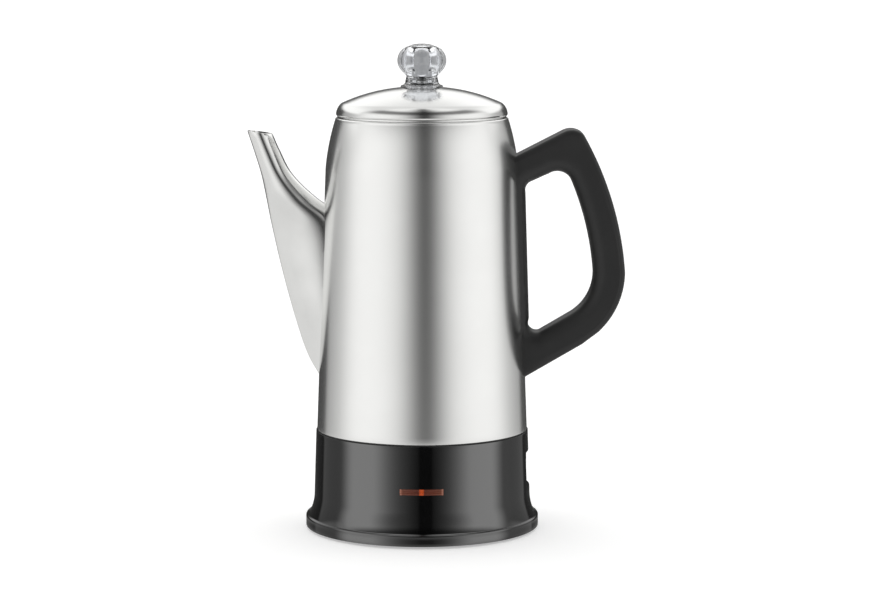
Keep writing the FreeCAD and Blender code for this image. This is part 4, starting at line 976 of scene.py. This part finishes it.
def build_flutes():
    tree, start = new_tree("Flutes", Lobes=8, Depth=0.09, Low=0.2815, Full=0.2855, High=0.3005)
    position = add(tree, "GeometryNodeInputPosition").outputs[0]
    normal = add(tree, "GeometryNodeInputNormal").outputs[0]
    place = parts(tree, position)
    angle = calc(tree, "ARCTAN2", place["Y"], place["X"])
    turns = times(tree, angle, times(tree, start["Lobes"], 0.5))
    wave = calc(tree, "ABSOLUTE", calc(tree, "COSINE", turns))
    groove = calc(tree, "POWER", minus(tree, 1.0, wave), GROOVE_SHARPNESS)
    rise = span(tree, place["Z"], start["Low"], start["Full"])
    fall = span(tree, place["Z"], minus(tree, start["High"], TOP_FADE), start["High"], 1.0, TOP_LEFT)
    facing = add(tree, "ShaderNodeVectorMath", {0: normal, 1: position}, operation="DOT_PRODUCT")
    upward = times(tree, parts(tree, normal)["Z"], place["Z"])
    outside = calc(tree, "GREATER_THAN", minus(tree, facing.outputs["Value"], upward), 0.0)
    amount = times(tree, times(tree, groove, outside), times(tree, rise, fall))
    share = minus(tree, 1.0, times(tree, amount, start["Depth"]))
    spot = vector(tree, times(tree, place["X"], share), times(tree, place["Y"], share), place["Z"])
    moved = add(tree, "GeometryNodeSetPosition", {"Geometry": start["Geometry"], "Position": spot})
    return close_tree(tree, start, moved.outputs[0])


knob_blank = turned("Knob_blank", divided(eased(traced(KNOB, 22), 0.3), 0.8), 288)
knob_mesh = grown("Knob", build_flutes(), knob_blank, "knob_clear", sharp=48.0, Lobes=8, Depth=0.13)
piece("Knob", knob_mesh, "knob_clear", "knob", ["knob"])

# %% [markdown]
# ## The base
# The base is a glossy black moulding: a flange that hides the feet, a hollow flare, and an almost
# upright wall with a window for the lamp at the front and an opening for the inlet socket on the
# handle's side. The real wall thickness and the inner shelf are in the outline.

# %% Turn the base
BASE = [(70.2, 1.5), (72.6, 1.5), (72.6, 7.3), (72.4, 8.1, "via"), (71.8, 8.5), (71.0, 8.3),
        (70.6, 8.7), (68.2, 14.95, "via"), (67.3, 21.6), (66.0, 61.5), (63.5, 61.5), (63.5, 42.5),
        (47.5, 42.5), (47.5, 40.0), (64.2, 40.0), (64.8, 21.6), (67.1, 9.5), (67.1, 4.7),
        (70.2, 4.7)]
lens_low, lens_high = (Vector(v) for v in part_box("indicator_lens"))
socket_low, socket_high = (Vector(v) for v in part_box("inlet_socket"))
FIT = 0.1 * MM
LENS_HALF, LENS_Z, LENS_HEIGHT = 13.15 * MM, 33.8 * MM, 3.6 * MM

base_blank = turned("Base_blank", divided(eased(traced(BASE, 20), 0.15), 2.5), 240)
with_inlet = grown("Base_with_inlet", WINDOW, base_blank, "base_black",
                   Middle_X=0.066, Middle_Z=(socket_low.z + socket_high.z) / 2, Size_X=0.026,
                   Size_Y=socket_high.y - socket_low.y + 2 * FIT,
                   Size_Z=socket_high.z - socket_low.z + 2 * FIT)
base_mesh = grown("Base", WINDOW, with_inlet, "base_black", Middle_Y=-0.066, Middle_Z=LENS_Z,
                  Size_X=2 * LENS_HALF + 2 * FIT, Size_Y=0.012, Size_Z=LENS_HEIGHT + 2 * FIT)
piece("Base", base_mesh, "base_black", "pot", ["base_housing"])
print("lens window at %.1f mm, the engineering lens at %.1f mm" % (
    LENS_Z / MM, (lens_low.z + lens_high.z) / 2 / MM))

# %% [markdown]
# ## The lamp's lens
# The lens is a bar of amber plastic whose face follows the wall. Three fine ribs along it spread
# the light, and a thin dark frame holds its edge. The ribs repeat, so a tree sweeps one small
# round along the face's arc and copies it upwards.

# %% Mould the lens
LENS_FACE, LENS_BACK, FLANGE_BACK = 67.45 - 0.35, 60.0, 62.0  # the face lies just under its ribs
FLANGE_OUT, FLANGE_UP = 2, 2.2


def lens_body():
    """The bar with a curved face, and a flange behind it."""
    columns = 33
    half = LENS_HALF / MM
    low, high = (LENS_Z - LENS_HEIGHT / 2) / MM, (LENS_Z + LENS_HEIGHT / 2) / MM
    verts = []
    for z in (low, high):
        for k in range(columns):
            x = -half + 2 * half * k / (columns - 1)
            verts.append((x, -math.sqrt(LENS_FACE ** 2 - x * x), z))
        verts += [(half, -LENS_BACK, z), (-half, -LENS_BACK, z)]
    ring = columns + 2
    faces = quads(ring, 0, ring) + [list(range(ring)), list(range(ring, 2 * ring))]
    first, wide = len(verts), half + FLANGE_OUT
    verts += [(x, y, z) for z in (low - FLANGE_UP, high + FLANGE_UP) for x, y in (
        (-wide, -FLANGE_BACK), (wide, -FLANGE_BACK), (wide, -LENS_BACK), (-wide, -LENS_BACK))]
    faces += [list(range(first, first + 4)), list(range(first + 4, first + 8))]
    faces += quads(4, first, first + 4)
    return new_mesh("Lens_body", verts, faces, 30.0)


def build_ribs():
    tree, start = new_tree("Lens ribs", Ribs=3, Pitch=0.00105, Thick=0.00042, Half_angle=0.192,
                           Reach=0.06712, Middle=0.0338)
    arc = add(tree, "GeometryNodeCurveArc", {
        "Resolution": 32, "Radius": start["Reach"],
        "Start Angle": minus(tree, -math.pi / 2, start["Half angle"]),
        "Sweep Angle": times(tree, start["Half angle"], 2.0)})
    profile = add(tree, "GeometryNodeCurvePrimitiveCircle", {"Resolution": 10,
                                                             "Radius": start["Thick"]})
    rib = add(tree, "GeometryNodeCurveToMesh", {0: arc.outputs[0], 1: profile.outputs[0],
                                                "Fill Caps": True})
    below = times(tree, start["Pitch"], times(tree, 0.5, minus(tree, start["Ribs"], 1.0)))
    base = minus(tree, start["Middle"], below)
    line = add(tree, "GeometryNodeMeshLine", {
        "Count": start["Ribs"], "Start Location": vector(tree, z=base),
        "Offset": vector(tree, z=start["Pitch"])})
    copies = add(tree, "GeometryNodeInstanceOnPoints", {"Points": line.outputs[0],
                                                        "Instance": rib.outputs[0]})
    joined = add(tree, "GeometryNodeJoinGeometry", {0: copies.outputs[0]})
    tree.links.new(start["Geometry"], joined.inputs[0])
    return close_tree(tree, start, joined.outputs[0])


lens_mesh = grown("Lens", build_ribs(), lens_body(), "lens_amber", Ribs=3, Middle=LENS_Z)
piece("Lens", lens_mesh, "lens_amber", "pot", ["indicator_lens"])

# %% [markdown]
# ## Feet and screws
# Four rubber feet, three studs under the pot's floor, and the screws are each one turned shape.
# The ring tree copies them round the axis; the screws first get a cross recess in the head.

# %% Make the feet, studs and screws
FOOT = [(0.0, 0.0), (1.6, 0.0), (1.9, 0.35), (3.6, 0.35), (3.9, 0.0), (5.2, 0.0), (6.0, 0.8),
        (6.0, 2.5), (2.7, 2.5), (2.7, 4.7), (3.5, 4.7), (2.7, 6.7), (0.0, 6.7)]
STUD = [(1.5, 42.5), (3.0, 42.5), (3.0, 52.0), (0.0, 52.0), (0.0, 48.0), (1.5, 48.0)]


def screw_outline(seat, head, head_height, thread, length):
    """A pan-head screw that points up, with shallow rings for its thread."""
    low = seat - head_height
    points = [(0.0, low), (head * 0.62, low), (head * 0.93, low + head_height * 0.32),
              (head, low + head_height * 0.75), (head, seat), (thread, seat)]
    turns = int(length / 0.8)
    for k in range(turns):
        level = seat + length * (k + 0.25) / turns
        points += [(thread, level), (thread * 0.86, level + length * 0.5 / turns)]
    return points + [(thread * 0.7, seat + length), (0.0, seat + length)]


RECESS_WIDTH, RECESS_DEPTH = 0.26, 0.32  # shares of a recess's length


def ring_of(name, outline, count, circle, first_degrees, material, node, recess=0.0):
    blank = turned(name + "_blank", outline, 40)
    if recess:
        blank = grown(name + "_cut", CROSS, blank, material, Width=recess * RECESS_WIDTH * MM,
                      Length=recess * MM, Depth=recess * RECESS_DEPTH * MM,
                      Height=outline[0][1] * MM)
    mesh = grown(name, RING, blank, material, Count=count, Circle=circle * MM,
                 First_angle=math.radians(first_degrees))
    piece(name, mesh, material, "pot", [node])


ring_of("Feet", FOOT, 4, 60.0, 45, "foot_rubber", "rubber_feet")
ring_of("Studs", STUD, 3, 52.5, 60, "plain_steel", "floor_studs")
ring_of("Housing_screws", screw_outline(40.0, 3.2, 2.0, 1.5, 7.5), 3, 52.5, 60, "screw_steel",
        "housing_screws", recess=3.6)
ring_of("Cover_screws", screw_outline(2.5, 3.2, 1.4, 1.5, 12.0), 3, 61.5, 60, "screw_steel",
        "base_cover_screws", recess=3.4)

# %% [markdown]
# ## The remaining engineering pieces
# The basket, spreader, tube, heater, socket and wiring already have their true shape, with every
# hole in place. They only need their real finish, so each goes to the finish that its material
# slot names.

# %% Dress the engineering pieces
dressed = 0
for entry in frame["record"]["subparts"]:
    node = frame["nodes"][entry["node"]]
    node.data.materials.clear()
    node.data.materials.append(FINISHES[entry["material_slot"]])
    dressed += 1
print(dressed, "engineering pieces dressed")
